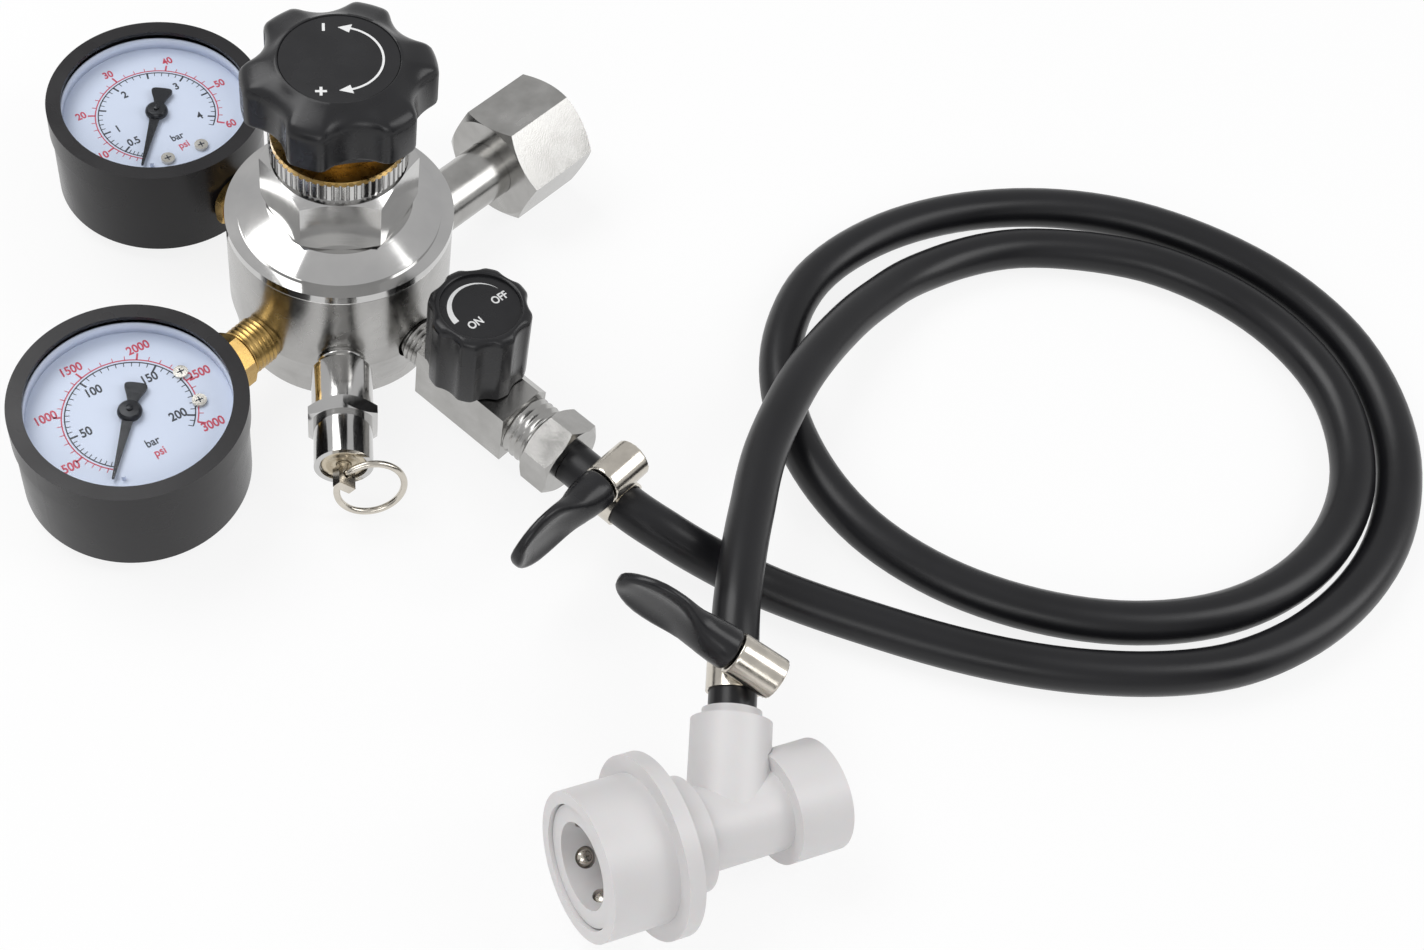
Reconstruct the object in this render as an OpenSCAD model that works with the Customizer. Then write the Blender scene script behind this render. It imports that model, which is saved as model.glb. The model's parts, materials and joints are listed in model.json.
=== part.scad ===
/* [Body] */
// Outer diameter of the regulator body
body_d = 59.2; // [58:0.2:62]
// Height of the body's rim above the table
body_h = 41; // [40:0.5:46]
// Diameter of the underside
foot_d = 55.4; // [50:0.2:56]
// Height of the port axes above the table
port_z = 16.5; // [16.2:0.1:17.5]
// Diameter of the five port holes
port_d = 12.6; // [11.6:0.1:13]
// Diameter of the high pressure chamber
inlet_chamber_d = 10.4; // [9:0.1:12]
// Diameter of the low pressure chamber
outlet_chamber_d = 44; // [40:0.5:46]
// Diameter of the passages drilled between the ports and the chambers
passage_d = 4; // [2:0.2:4.6]

/* [Bonnet] */
// Outer diameter of the bonnet's flange
bonnet_d = 59.6; // [58:0.2:62]
// Width across the flats of the bonnet's hexagon
bonnet_af = 35; // [34:0.5:38]
// Height of the bonnet's hexagon
bonnet_hex_h = 16.4; // [14:0.2:20]
// Outer diameter of the knurled collar
collar_d = 35.6; // [35:0.2:38]
// Height of the knurled collar
collar_h = 4.9; // [4:0.1:7]
// Number of grooves round the knurled collar
collar_grooves = 60; // [36:2:80]
// Thickness of the diaphragm
diaphragm_t = 1; // [0.6:0.1:1.4]

/* [Pressure adjuster] */
// Diameter of the brass adjusting screw
screw_d = 24.8; // [22:0.2:25]
// How far the screw goes in
screw_travel = 4.5; // [3:0.5:4.5]
// Gap between the bush and the knob when the screw is out
knob_gap = 10; // [10:0.2:13]
// Diameter over the knob's lobes
knob_d = 48; // [46:0.5:52]
// Depth of the knob's valleys
knob_valley = 3.5; // [2:0.1:5]
// Number of the knob's lobes
knob_lobes = 6; // [5:1:8]
// Height of the pressure knob
knob_h = 15; // [14:0.2:18]
// Free height of the range spring
range_spring_h = 21.5; // [20:0.5:23]
// Wire diameter of the range spring
range_wire_d = 2.4; // [1.6:0.1:2.6]

/* [Gauges] */
// Outer diameter of the bezel
bezel_d = 60; // [58:0.5:64]
// Height of the bezel's front above the table
gauge_top_z = 33.35; // [32:0.1:36]
// Depth of the whole gauge
gauge_h = 29.35; // [28:0.1:31]
// Diameter of the window
window_d = 51.8; // [48:0.2:54]
// Distance of the high pressure gauge's centre from the body's axis
inlet_gauge_r = 75; // [73:0.5:80]
// Distance of the low pressure gauge's centre from the body's axis
outlet_gauge_r = 70.7; // [70:0.1:76]
// Width across the flats of the gauge stems
stem_af = 14; // [13.6:0.1:16]
// Length of the pointer from its shaft to its tip
pointer_len = 20.5; // [16:0.5:22]

/* [Cylinder connection] */
// Width across the flats of the cylinder nut
nut_af = 29.6; // [27:0.2:29.6]
// Length of the cylinder nut
nut_len = 25; // [22:0.5:27]
// Bore of the cylinder nut's thread
nut_bore_d = 20; // [19.6:0.1:21]
// Distance of the nut's back from the body's axis
nut_r = 58.2; // [56:0.2:66]
// Diameter of the inlet stem
inlet_stem_d = 16; // [14:0.2:17]

/* [Relief valve] */
// Diameter of the relief valve's barrel
relief_d = 16; // [15:0.2:17]
// Diameter of the relief valve's cap
relief_cap_d = 15.2; // [14.6:0.2:16]
// Outer diameter of the pull ring
ring_d = 19.2; // [17:0.2:20]
// Wire diameter of the pull ring
ring_wire_d = 1.8; // [1.4:0.1:2]

/* [Shut-off valve] */
// Width of the valve's block
valve_w = 16.4; // [16.2:0.2:18]
// Height of the valve's block
valve_h = 17; // [16.4:0.2:20]
// Length of the valve's block
valve_len = 30.7; // [29:0.2:34]
// Diameter over the valve knob's lobes
valve_knob_d = 26.4; // [24:0.2:28]
// Height of the valve knob
valve_knob_h = 23.5; // [20:0.5:25]
// Number of the valve knob's lobes
valve_knob_lobes = 8; // [6:1:12]

/* [Hose and clamps] */
// Outer diameter of the hose
hose_d = 11.4; // [10.8:0.1:11.5]
// Diameter of the hose barbs
barb_d = 8.2; // [7:0.1:9]
// Width of the clamp bands
band_w = 9; // [7:0.2:10]
// Length of a clamp's key
key_len = 31.5; // [24:0.5:35]

/* [Disconnect] */
// Diameter of the disconnect's sleeve
sleeve_d = 34.4; // [33:0.2:36]
// Diameter of the sleeve's flange
flange_d = 42.4; // [40:0.2:43]
// Diameter of the disconnect's screw cap
cap_d = 26.4; // [24:0.2:28]
// Diameter of the socket
socket_d = 20; // [19:0.1:21]
// Diameter of the side column that carries the hose barb
column_d = 19; // [17:0.2:19.6]

/* [Hidden] */

$fn = 96;

// Overrun of every cut, and the clearances between pieces
overrun = 1;
fit_gap = 0.05;
run_gap = 0.08;
rest_gap = 0.1;
free_gap = 0.3;

// Directions of the five ports round the body
inlet_angle = 42;
outlet_gauge_angle = 135;
inlet_gauge_angle = 225;
relief_angle = 270;
valve_angle = 313;

// Body, from the table up
body_r = body_d / 2;
foot_r = foot_d / 2;
rim_z = body_h;
foot_taper_h = 14;
foot_taper_shares = [[0, 0], [0.37, 0.5], [0.84, 0.886], [1, 1]];
rim_edge = 0.5;
floor_t = 6;
port_roof_t = 1.2;
port_depth = 9;
chamber_floor_z = port_z + port_d / 2 + port_roof_t;
diaphragm_depth = 3.5;
diaphragm_z = rim_z - diaphragm_depth;
riser_inset = 0.6;
riser_r = outlet_chamber_d / 2 - passage_d / 2 - riser_inset;
port_floor_r = body_r - port_depth;
outlet_port_r = riser_r - passage_d / 2 + free_gap;
outlet_thread_r = riser_r + passage_d / 2 + free_gap;

// Bonnet, from the diaphragm up
spigot_r = 26.3;
spigot_z = diaphragm_z + diaphragm_t;
recess_r = 22.5;
recess_h = 4.5;
spring_bore_r = 13.5;
flange_h = 2.4;
groove_r = 26.5;
groove_h = 0.6;
cone_h = 3.6;
cone_top_r = 19;
neck_gap = 2.1;
neck_wall = 0.95;
bush_r = 15.2;
bush_len = 13;
bush_flange_h = 1;
bush_flange_r = 17.2;
flange_z = rim_z + flange_h;
cone_z = flange_z + groove_h;
hex_z = cone_z + cone_h;
hex_top_z = hex_z + bonnet_hex_h;
collar_z = hex_top_z + neck_gap;
neck_z = collar_z + collar_h;
bush_z = neck_z - bush_len;
bush_top_z = neck_z + bush_flange_h;
neck_r = bush_r + fit_gap + neck_wall;
knurl_r = 0.45;

// Diaphragm plate, spring, seat, screw and knob
plate_r = 18;
plate_h = 3;
pilot_r = 8.6;
pilot_h = 1.6;
plate_z = diaphragm_z + diaphragm_t;
range_spring_z = plate_z + plate_h;
range_turns = 4.5;
range_spring_r = screw_d / 2 - free_gap * 2 - range_wire_d / 2;
seat_z = range_spring_z + range_spring_h;
seat_r = screw_d / 2 - free_gap * 3;
seat_h = 3;
screw_z = seat_z + seat_h + rest_gap;
knob_z = bush_top_z + knob_gap;
knob_hub_h = 12;
screw_top_z = knob_z + knob_hub_h;
knob_hub_d = 35.4;
knob_hub_valley = 2.4;
knob_hub_drop = 5;
knob_lobe_turn = 9;
knob_dome_shares = [[1, 0.47], [0.94, 0.67], [0.81, 0.85], [0.69, 0.95], [0.62, 1]];
disc_r = 14.5;
disc_t = 0.6;
disc_recess = 1.2;

// Nozzle and poppet in the high pressure chamber
nozzle_r = 6.5;
nozzle_len = 4.3;
nozzle_af = 11;
nozzle_hex_h = 3;
nozzle_bore_r = 1.5;
nozzle_z = chamber_floor_z - nozzle_len;
poppet_r = 3.6;
poppet_h = 5.6;
poppet_lift = 0.8;
pin_r = 1.1;
poppet_spring_r = 2.9;
poppet_wire_d = 0.8;
poppet_turns = 6;
poppet_top_z = nozzle_z - rest_gap;
poppet_z = poppet_top_z - poppet_h;

// Gauges, from the back of the case to the front of the bezel
bezel_r = bezel_d / 2;
case_wall = 1.2;
case_back_t = 1.5;
bezel_wall = 0.6;
case_r = bezel_r - bezel_wall;
gauge_back_z = gauge_top_z - gauge_h;
lip_t = 1.05;
lens_t = 1;
lens_gap = 0.4;
lens_z = gauge_top_z - lip_t - lens_t;
bezel_h = 8;
lens_r = case_r - lens_gap;
window_r = window_d / 2;
dial_t = 0.8;
dial_gap = 1.7;
dial_r = case_r - case_wall - dial_gap;
dial_drop = 5.1;
dial_z = lens_z - dial_drop;
dial_hole_r = 1.6;
stem_r = 6.25;
stem_bore_r = 1.5;
stem_hex_r = 38;
block_w = 12;
block_len = 11;
block_h = 11;
block_wall_gap = 4.2;
block_top = port_z + block_h / 2;
shank_r = 5.5;
tube_r = 18;
tube_t = 2.4;
tube_h = 8;
tube_sweep = 250;
movement_t = 1.4;
movement_w = 14;
movement_reach = 8;
pillar_r = 1.8;
post_r = 2.2;
screw_ear_r = 3.2;
dial_screw_r = 17.5;
dial_screw_angles = [1, -33];
screw_head_r = 1.9;
screw_head_h = 0.9;
screw_shank_r = 1;
shaft_r = 0.9;
pointer_gap = 0.9;
pointer_t = 0.6;
pointer_tail = 8.5;
pointer_w = 2.4;
tail_w = 5.6;
boss_r = 3.2;
boss_h = 1.7;
stop_pin_r = 0.5;
pointer_zero = 261;
stop_shift = 7;

// Cylinder connection, outward from the body
nut_back_t = 5;
inlet_head_r = 9.4;
inlet_head_len = 3.5;
washer_t = 2;
washer_hole_r = 4;
inlet_bore_r = 2;
filter_r = 3.2;
filter_len = 3.5;
nut_relief = 0.5;
nut_relief_r = nut_bore_d / 2 + nut_relief;
nut_mouth = 0.8;
nut_turn = 19;
inlet_head_x = nut_r + nut_back_t + free_gap;
washer_x = inlet_head_x + inlet_head_len;
thread_x = washer_x + washer_t + free_gap;
nut_front_x = nut_r + nut_len;

// Relief valve, outward from the body
relief_neck_len = 3.5;
relief_barrel_len = 13.5;
relief_hex_af = 17.8;
relief_hex_h = 4;
relief_cap_len = 12;
relief_cavity_r = 5.4;
relief_cavity_x = 38;
relief_orifice_r = 2.5;
relief_cap_wall = 1.4;
relief_cap_spigot = 3;
relief_recess_h = 1.2;
relief_head_r = 4.4;
relief_head_h = 2;
relief_pin_r = 1.8;
relief_pin_lip = 3.6;
relief_pull = 2.5;
eye_t = 2.6;
eye_w = 5.2;
eye_hole_r = 1.35;
relief_wire_d = 1;
relief_turns = 5;
relief_neck_x = body_r;
relief_barrel_x = relief_neck_x + relief_neck_len;
relief_hex_x = relief_barrel_x + relief_barrel_len;
relief_cap_x = relief_hex_x + relief_hex_h;
relief_end_x = relief_cap_x + relief_cap_len;
eye_out = 2.95;
eye_x = relief_end_x + eye_out;
relief_spring_r = relief_head_r - relief_wire_d / 2;
ring_mean_r = ring_d / 2 - ring_wire_d / 2;
ring_lean = 39.1;
ring_tilt = 12;

// Shut-off valve, outward from the body
valve_x = 37.3;
nipple_r = 5.6;
valve_chamfer = 3;
valve_thread_r = 8;
valve_thread_len = 9;
valve_bore_r = 3;
valve_knob_x = 50.3;
valve_stem_r = 2.5;
packing_af = 15;
packing_h = 3.2;
stem_well_r = 4.6;
stem_seat_r = 3.4;
valve_knob_z = port_z + valve_h / 2 + free_gap;
valve_knob_wall = 2;
valve_knob_socket = 12;
valve_knob_recess = 1;
valve_knob_valley = 1.3;
valve_knob_shares = [[1, 0.925], [0.965, 0.965], [0.91, 1]];
valve_knob_turn = 29;
valve_end_x = valve_x + valve_len;
thread_end_x = valve_end_x + valve_thread_len;
hose_nut_af = 19;
hose_nut_h = 9;
hose_nut_lap = 1.2;
hose_nut_x = thread_end_x - hose_nut_lap;
hose_start_x = 86;
tail_head_len = 3;
tail_barb_len = 20;
barb_bore_r = 2.4;
barb_step = 3.4;
barb_drop = 0.7;

// Disconnect: its mouth, its lean and its pieces along its own axis
coupler_at = [49.3, -175.1, 23.8];
coupler_azimuth = 19;
coupler_dip = 8.5;
sleeve_len = 20;
flange_len = 4;
sleeve_wall = 2.9;
sleeve_travel = 3;
skirt_gap = 0.35;
barrel_r = 11.6;
barrel_x = 9.3;
lip_gap = 0.2;
lip_len = 1.5;
lip_x = barrel_x + lip_gap;
sleeve_spring_turns = 4;
neck_x = 23.6;
neck_len = 4.4;
coupler_neck_r = 13.4;
coupler_tube_r = 9.8;
coupler_cap_x = 50;
coupler_cap_len = 13.5;
poppet_bore_r = 5;
socket_depth = 17;
socket_groove_r = 1.1;
socket_groove_x = 12;
ball_d = 5;
ball_x = 6.5;
ball_count = 6;
ball_turn = 30;
seal_r = 1;
coupler_poppet_r = 1.6;
coupler_poppet_head_r = 4.2;
coupler_poppet_head_h = 2.4;
coupler_poppet_travel = 2;
coupler_wire_d = 0.8;
coupler_turns = 5;
column_root_x = 38;
column_len = 26;
column_polar = 66;
column_spin = 108;
column_round = 2.5;

// Clamps: distance along the hose from each end, and the roll of each about the hose
clamp_from_valve = 12.7;
clamp_from_column = 9;
clamp_roll_1 = 0;
clamp_roll_2 = -88;
clamp_skew_2 = 22;
band_t = 0.6;
band_gap = 0.1;
housing_r = 5.2;
housing_len = 12;
housing_shift = -0.7;
clamp_screw_r = 3.2;
hub_r = 5.5;
hub_len = 11;
wing_w = 19;
wing_t = 3.2;
wing_shares = [[0.58, 0.15], [1, 0.55], [1, 0.85], [0.5, 1]];
hose_r = hose_d / 2;
band_r = hose_r + band_gap;
clamp_screw_x = band_r + band_t + clamp_screw_r + rest_gap;

// The hose's route, by hand: from the valve, twice round on the table, to the disconnect
route = [
    [58.7, -62.9, 16.5], [70.9, -76.1, 16.5], [79.5, -82.5, 15], [91, -88.2, 10.8],
    [107.5, -95.3, 6.4], [131.5, -105.5, 5.7], [159, -115.2, 5.7], [188.5, -120.5, 5.7],
    [219.5, -119.2, 5.7], [247.4, -107.2, 5.7], [270.5, -85.3, 5.7], [283.5, -55, 5.7],
    [281.8, -20.8, 5.7], [263.4, 7.6, 5.7], [231.6, 27.2, 5.7], [196.2, 32.6, 5.7],
    [161, 25.3, 5.7], [133, 6.2, 5.7], [119.8, -22, 5.7], [121, -50.5, 5.7],
    [134, -77, 5.7], [158, -96, 5.7], [190, -105.8, 5.7], [222.2, -104, 5.7],
    [249.4, -90.2, 5.7], [267.6, -66, 5.7], [271.4, -35, 5.7], [258, -7.5, 5.7],
    [231.2, 11.5, 5.7], [195, 17.1, 5.7], [167.4, 9.3, 6.1], [150.3, -2.7, 9],
    [135.4, -18.1, 13.5], [120, -39, 18.5], [107.5, -62.5, 21.7], [101, -81, 24.6],
    [96, -97, 27.3], [92, -112.5, 28.6], [90.3, -124.2, 27], [88.4, -137.7, 23.9]];
hose_sides = 12;
gap_skip = 4;

// Vector helpers
function unit(v) = v / norm(v);
function side_of(t) = unit(cross(t, [0, 0, 1]));
function tangent(p, i) = unit(p[min(i + 1, len(p) - 1)] - p[max(i - 1, 0)]);

// A point halfway between two route points, on the smooth curve through their neighbours
function halfway(p, i) =
    (9 * (p[i] + p[i + 1]) - p[max(i - 1, 0)] - p[min(i + 2, len(p) - 1)]) / 16;
function smooth(p) = [for (i = [0 : len(p) - 1]) each
    i == len(p) - 1 ? [p[i]] : [p[i], halfway(p, i)]];

// Corner k of the ring of the given radius round point i of a path
function ring_corner(p, i, r, k, sides) =
    let (t = tangent(p, i), s = side_of(t), u = cross(s, t))
    p[i] + r * (s * cos(90 + 360 * k / sides) + u * sin(90 + 360 * k / sides));

// A closed round tube swept along a path
module sweep(p, r, sides) {
    n = len(p);
    corners = [for (i = [0 : n - 1], k = [0 : sides - 1]) ring_corner(p, i, r, k, sides)];
    walls = [for (i = [0 : n - 2], k = [0 : sides - 1])
        let (a = i * sides + k, b = i * sides + (k + 1) % sides)
        each [[a, b, b + sides], [a, b + sides, a + sides]]];
    first_end = [for (k = [1 : sides - 2]) [0, k + 1, k]];
    last_base = (n - 1) * sides;
    last_end = [for (k = [1 : sides - 2]) [last_base, last_base + k, last_base + k + 1]];
    polyhedron(corners, concat(walls, first_end, last_end), convexity = 10);
}

// A coil spring that stands on z = 0 and is h high over its wire
coil_rings = 8;
coil_sides = 6;
function coil_path(r, h, wire, turns) =
    let (n = ceil(turns * coil_rings))
    [for (i = [0 : n]) let (a = 360 * i * turns / n)
        [r * cos(a), r * sin(a), wire / 2 + (h - wire) * i / n]];
module coil(r, h, wire, turns) sweep(coil_path(r, h, wire, turns), wire / 2, coil_sides);

// Least distance from the points of a path to its stretches further along
function to_segment(q, a, b) =
    let (s = max(0, min(1, (q - a) * (b - a) / ((b - a) * (b - a)))))
    norm(q - a - s * (b - a));
function least_gap(p, d) = min([for (i = [0 : len(p) - 1], j = [0 : len(p) - 2])
    if (abs(i - j) > gap_skip && abs(i - j - 1) > gap_skip) to_segment(p[i], p[j], p[j + 1])]) - d;
function path_len(p, i = 0) =
    i == len(p) - 1 ? 0 : norm(p[i + 1] - p[i]) + path_len(p, i + 1);

// Shared shapes
module at_port(angle) rotate([0, 0, angle]) translate([0, 0, port_z]) rotate([0, 90, 0]) children();
module at_gauge(angle, r) rotate([0, 0, angle]) translate([r, 0, 0]) children();
module tube(outer_r, inner_r, h) difference() {
    cylinder(r = outer_r, h = h);
    translate([0, 0, -overrun]) cylinder(r = inner_r, h = h + 2 * overrun);
}
// A hexagonal bar whose corners are turned off at both ends
corner_share = 0.6;
module hex_bar(af, h) intersection() {
    cylinder(d = af / cos(30), h = h, $fn = 6);
    turned_edges(af / 2, af / 2 / cos(30), h);
}
module turned_edges(end_r, side_r, h) {
    drop = (side_r - end_r) * corner_share;
    rotate_extrude() polygon([[0, 0], [end_r, 0], [side_r, drop], [side_r, h - drop],
        [end_r, h], [0, h]]);
}
// A barbed tail that points along +z
module barbs(len) {
    count = floor(len / barb_step);
    rotate_extrude() polygon(concat([[0, 0]],
        [for (i = [0 : count - 1]) each [[barb_d / 2 - barb_drop, i * len / count],
            [barb_d / 2, i * len / count + barb_drop]]],
        [[barb_d / 2 - barb_drop, len], [0, len]]));
}
// The hose's direction at its column end, and a frame on each end of the hose
module at_coupler() translate(coupler_at) rotate([0, 90 + coupler_dip, coupler_azimuth]) children();
module at_column() at_coupler() translate([0, 0, column_root_x])
    rotate([0, column_polar, column_spin]) children();
module at_clamp(which) {
    if (which == 1) at_port(valve_angle) translate([0, 0, hose_start_x + clamp_from_valve])
        rotate(clamp_roll_1) children();
    if (which == 2) at_column() translate([0, 0, column_len + clamp_from_column])
        rotate([180, 0, clamp_roll_2]) children();
}

module regulator_body() color("silver") difference() {
    rotate_extrude() polygon(concat([[0, 0]],
        [for (s = foot_taper_shares) [foot_r + s[0] * (body_r - foot_r), s[1] * foot_taper_h]],
        [[body_r, rim_z - rim_edge], [body_r - rim_edge, rim_z], [0, rim_z]]));
    translate([0, 0, diaphragm_z])
        cylinder(r = spigot_r + fit_gap, h = diaphragm_depth + overrun);
    translate([0, 0, chamber_floor_z]) cylinder(d = outlet_chamber_d, h = diaphragm_z);
    translate([0, 0, nozzle_z]) cylinder(r = nozzle_r + fit_gap, h = rim_z);
    translate([0, 0, floor_t]) cylinder(d = inlet_chamber_d, h = rim_z);
    for (a = [inlet_angle, inlet_gauge_angle]) at_port(a) {
        cylinder(d = passage_d, h = body_r);
        translate([0, 0, port_floor_r]) cylinder(d = port_d, h = body_r);
    }
    for (a = [outlet_gauge_angle, relief_angle, valve_angle]) {
        at_port(a) translate([0, 0, outlet_port_r]) cylinder(d = port_d, h = body_r);
        rotate(a) translate([riser_r, 0, port_z]) cylinder(d = passage_d, h = rim_z / 2);
    }
}

module bonnet() color("gainsboro") difference() {
    union() {
        rotate_extrude() polygon([[0, spigot_z], [spigot_r, spigot_z], [spigot_r, rim_z],
            [bonnet_d / 2, rim_z], [bonnet_d / 2, flange_z], [groove_r, flange_z],
            [groove_r, cone_z], [spigot_r, cone_z], [cone_top_r, hex_z], [neck_r, hex_z],
            [neck_r, neck_z], [0, neck_z]]);
        translate([0, 0, hex_z]) hex_bar(bonnet_af, bonnet_hex_h);
    }
    translate([0, 0, spigot_z - overrun]) cylinder(r = recess_r, h = recess_h + overrun);
    translate([0, 0, spigot_z]) cylinder(r = spring_bore_r, h = neck_z);
    translate([0, 0, bush_z]) cylinder(r = bush_r + fit_gap, h = neck_z);
}

module knurled_collar() color("gainsboro") translate([0, 0, collar_z])
    linear_extrude(collar_h) difference() {
        circle(d = collar_d);
        circle(r = neck_r + fit_gap);
        for (i = [1 : collar_grooves]) rotate(i * 360 / collar_grooves)
            translate([collar_d / 2, 0]) circle(r = knurl_r, $fn = 16);
    }

module screw_bush() color("goldenrod") difference() {
    union() {
        translate([0, 0, bush_z]) cylinder(r = bush_r, h = bush_len);
        translate([0, 0, neck_z]) cylinder(r = bush_flange_r, h = bush_flange_h);
    }
    translate([0, 0, bush_z - overrun])
        cylinder(d = screw_d + 2 * run_gap, h = bush_len + bush_flange_h + 2 * overrun);
}

module diaphragm() color("dimgray") translate([0, 0, diaphragm_z])
    cylinder(r = spigot_r - free_gap, h = diaphragm_t);

module diaphragm_plate() color("silver") translate([0, 0, plate_z]) {
    cylinder(r = plate_r, h = plate_h);
    cylinder(r = pilot_r, h = plate_h + pilot_h);
}

module range_spring() color("dimgray") translate([0, 0, range_spring_z])
    coil(range_spring_r, range_spring_h, range_wire_d, range_turns);

module spring_seat() color("goldenrod") translate([0, 0, seat_z]) cylinder(r = seat_r, h = seat_h);

module adjusting_screw() color("goldenrod") translate([0, 0, screw_z])
    cylinder(d = screw_d, h = screw_top_z - screw_z);

// Radius of a lobed outline at angle a
function lobed(outer_d, valley, lobes, a) = outer_d / 2 - valley / 2 + valley / 2 * cos(lobes * a);
module lobed_outline(outer_d, valley, lobes) polygon([for (a = [0 : 4 : 356])
    lobed(outer_d, valley, lobes, a) * [cos(a), sin(a)]]);

module pressure_knob() color("#242426") translate([0, 0, knob_z]) difference() {
    union() {
        translate([0, 0, -knob_hub_drop]) rotate(knob_lobe_turn)
            linear_extrude(knob_hub_drop + overrun)
                lobed_outline(knob_hub_d, knob_hub_valley, knob_lobes);
        intersection() {
            rotate(knob_lobe_turn) linear_extrude(knob_h)
                lobed_outline(knob_d, knob_valley, knob_lobes);
            rotate_extrude() polygon(concat([[0, 0], [knob_d / 2, 0]],
                [for (s = knob_dome_shares) [s[0] * knob_d / 2, s[1] * knob_h]], [[0, knob_h]]));
        }
    }
    translate([0, 0, -knob_hub_drop - overrun])
        cylinder(d = screw_d + 2 * fit_gap, h = knob_hub_drop + knob_hub_h + rest_gap + overrun);
    translate([0, 0, knob_h - disc_recess]) cylinder(r = disc_r + fit_gap, h = knob_h);
}

module knob_disc() color("#1c1c1e") translate([0, 0, knob_z + knob_h - disc_recess])
    cylinder(r = disc_r, h = disc_t);

module seat_nozzle() color("goldenrod") translate([0, 0, nozzle_z]) difference() {
    union() {
        cylinder(r = nozzle_r, h = nozzle_len);
        translate([0, 0, nozzle_len]) hex_bar(nozzle_af, nozzle_hex_h);
    }
    translate([0, 0, -overrun]) cylinder(r = nozzle_bore_r, h = chamber_floor_z);
}

module seat_poppet() color("silver") {
    translate([0, 0, poppet_z]) cylinder(r = poppet_r, h = poppet_h);
    translate([0, 0, poppet_z + poppet_h])
        cylinder(r = pin_r, h = diaphragm_z - free_gap - poppet_z - poppet_h);
}

module poppet_spring() color("dimgray") translate([0, 0, floor_t])
    coil(poppet_spring_r, poppet_z - floor_t, poppet_wire_d, poppet_turns);

module inlet_stem() color("goldenrod") at_port(inlet_angle) difference() {
    union() {
        translate([0, 0, port_floor_r + fit_gap]) cylinder(d = port_d - 2 * fit_gap, h = port_depth);
        translate([0, 0, body_r + fit_gap]) cylinder(d = inlet_stem_d, h = inlet_head_x - body_r);
        translate([0, 0, inlet_head_x]) cylinder(r = inlet_head_r, h = inlet_head_len);
    }
    cylinder(r = inlet_bore_r, h = washer_x + overrun);
    translate([0, 0, washer_x - filter_len]) cylinder(r = filter_r + fit_gap, h = nut_len);
}

module inlet_nut() color("silver") at_port(inlet_angle) difference() {
    translate([0, 0, nut_r]) rotate(nut_turn) hex_bar(nut_af, nut_len);
    cylinder(d = inlet_stem_d + 2 * run_gap, h = nut_front_x);
    translate([0, 0, nut_r + nut_back_t]) cylinder(r = nut_relief_r, h = thread_x - nut_r - nut_back_t);
    translate([0, 0, nut_r + nut_back_t]) cylinder(d = nut_bore_d, h = nut_len);
    translate([0, 0, nut_front_x - nut_mouth])
        cylinder(r1 = nut_bore_d / 2, r2 = nut_bore_d / 2 + nut_mouth, h = nut_mouth);
    translate([0, 0, nut_front_x - fit_gap / 2])
        cylinder(r = nut_bore_d / 2 + nut_mouth, h = overrun);
}

module inlet_washer() color("whitesmoke") at_port(inlet_angle) translate([0, 0, washer_x])
    tube(inlet_head_r, washer_hole_r, washer_t);

module inlet_filter() color("goldenrod") at_port(inlet_angle)
    translate([0, 0, washer_x - filter_len]) cylinder(r = filter_r, h = filter_len);

// A gauge lies on its back; its stem points at the body along -x
module gauge_case(angle, r) color("#2c2b2d") at_gauge(angle, r) difference() {
    translate([0, 0, gauge_back_z]) cylinder(r = case_r, h = lens_z - gauge_back_z);
    translate([0, 0, gauge_back_z + case_back_t]) cylinder(r = case_r - case_wall, h = gauge_h);
    translate([0, 0, port_z]) rotate([0, -90, 0]) cylinder(r = shank_r + fit_gap, h = bezel_r);
}

module gauge_bezel(angle, r) color("gainsboro") at_gauge(angle, r) difference() {
    translate([0, 0, gauge_top_z - bezel_h]) turned_edges(bezel_r, bezel_r, bezel_h);
    translate([0, 0, gauge_top_z - bezel_h - overrun])
        cylinder(r = case_r + fit_gap, h = bezel_h - lip_t + overrun);
    cylinder(r = window_r, h = gauge_top_z + overrun);
}

module gauge_lens(angle, r) color("lightcyan", 0.4) at_gauge(angle, r) translate([0, 0, lens_z])
    cylinder(r = lens_r, h = lens_t);

// Places of the two dial screws, seen from the gauge's centre
function screw_place(i) = dial_screw_r * [-cos(dial_screw_angles[i]), -sin(dial_screw_angles[i])];

module gauge_dial(angle, r) color("white") at_gauge(angle, r) {
    translate([0, 0, dial_z]) difference() {
        cylinder(r = dial_r, h = dial_t);
        translate([0, 0, -overrun]) cylinder(r = dial_hole_r, h = dial_t + 2 * overrun);
        for (i = [0, 1]) translate(screw_place(i)) translate([0, 0, -overrun])
            cylinder(r = screw_shank_r + fit_gap, h = dial_t + 2 * overrun);
    }
    rotate(pointer_zero - angle + stop_shift) translate([pointer_len - overrun, 0, dial_z])
        cylinder(r = stop_pin_r, h = dial_t + pointer_gap + pointer_t);
}

module gauge_socket(angle, r) color("goldenrod") {
    hex_end = r - case_r - free_gap;
    thread_r = angle == inlet_gauge_angle ? port_floor_r + fit_gap : outlet_thread_r;
    block_end = r - case_r + block_wall_gap;
    at_port(angle) difference() {
        union() {
            translate([0, 0, thread_r]) cylinder(r = stem_r, h = stem_hex_r - thread_r);
            translate([0, 0, stem_hex_r]) hex_bar(stem_af, hex_end - stem_hex_r);
            translate([0, 0, stem_hex_r]) cylinder(r = shank_r, h = block_end - stem_hex_r);
            translate([-block_h / 2, -block_w / 2, block_end]) cube([block_h, block_w, block_len]);
        }
        cylinder(r = stem_bore_r, h = block_end + block_len / 2);
    }
}

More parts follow.
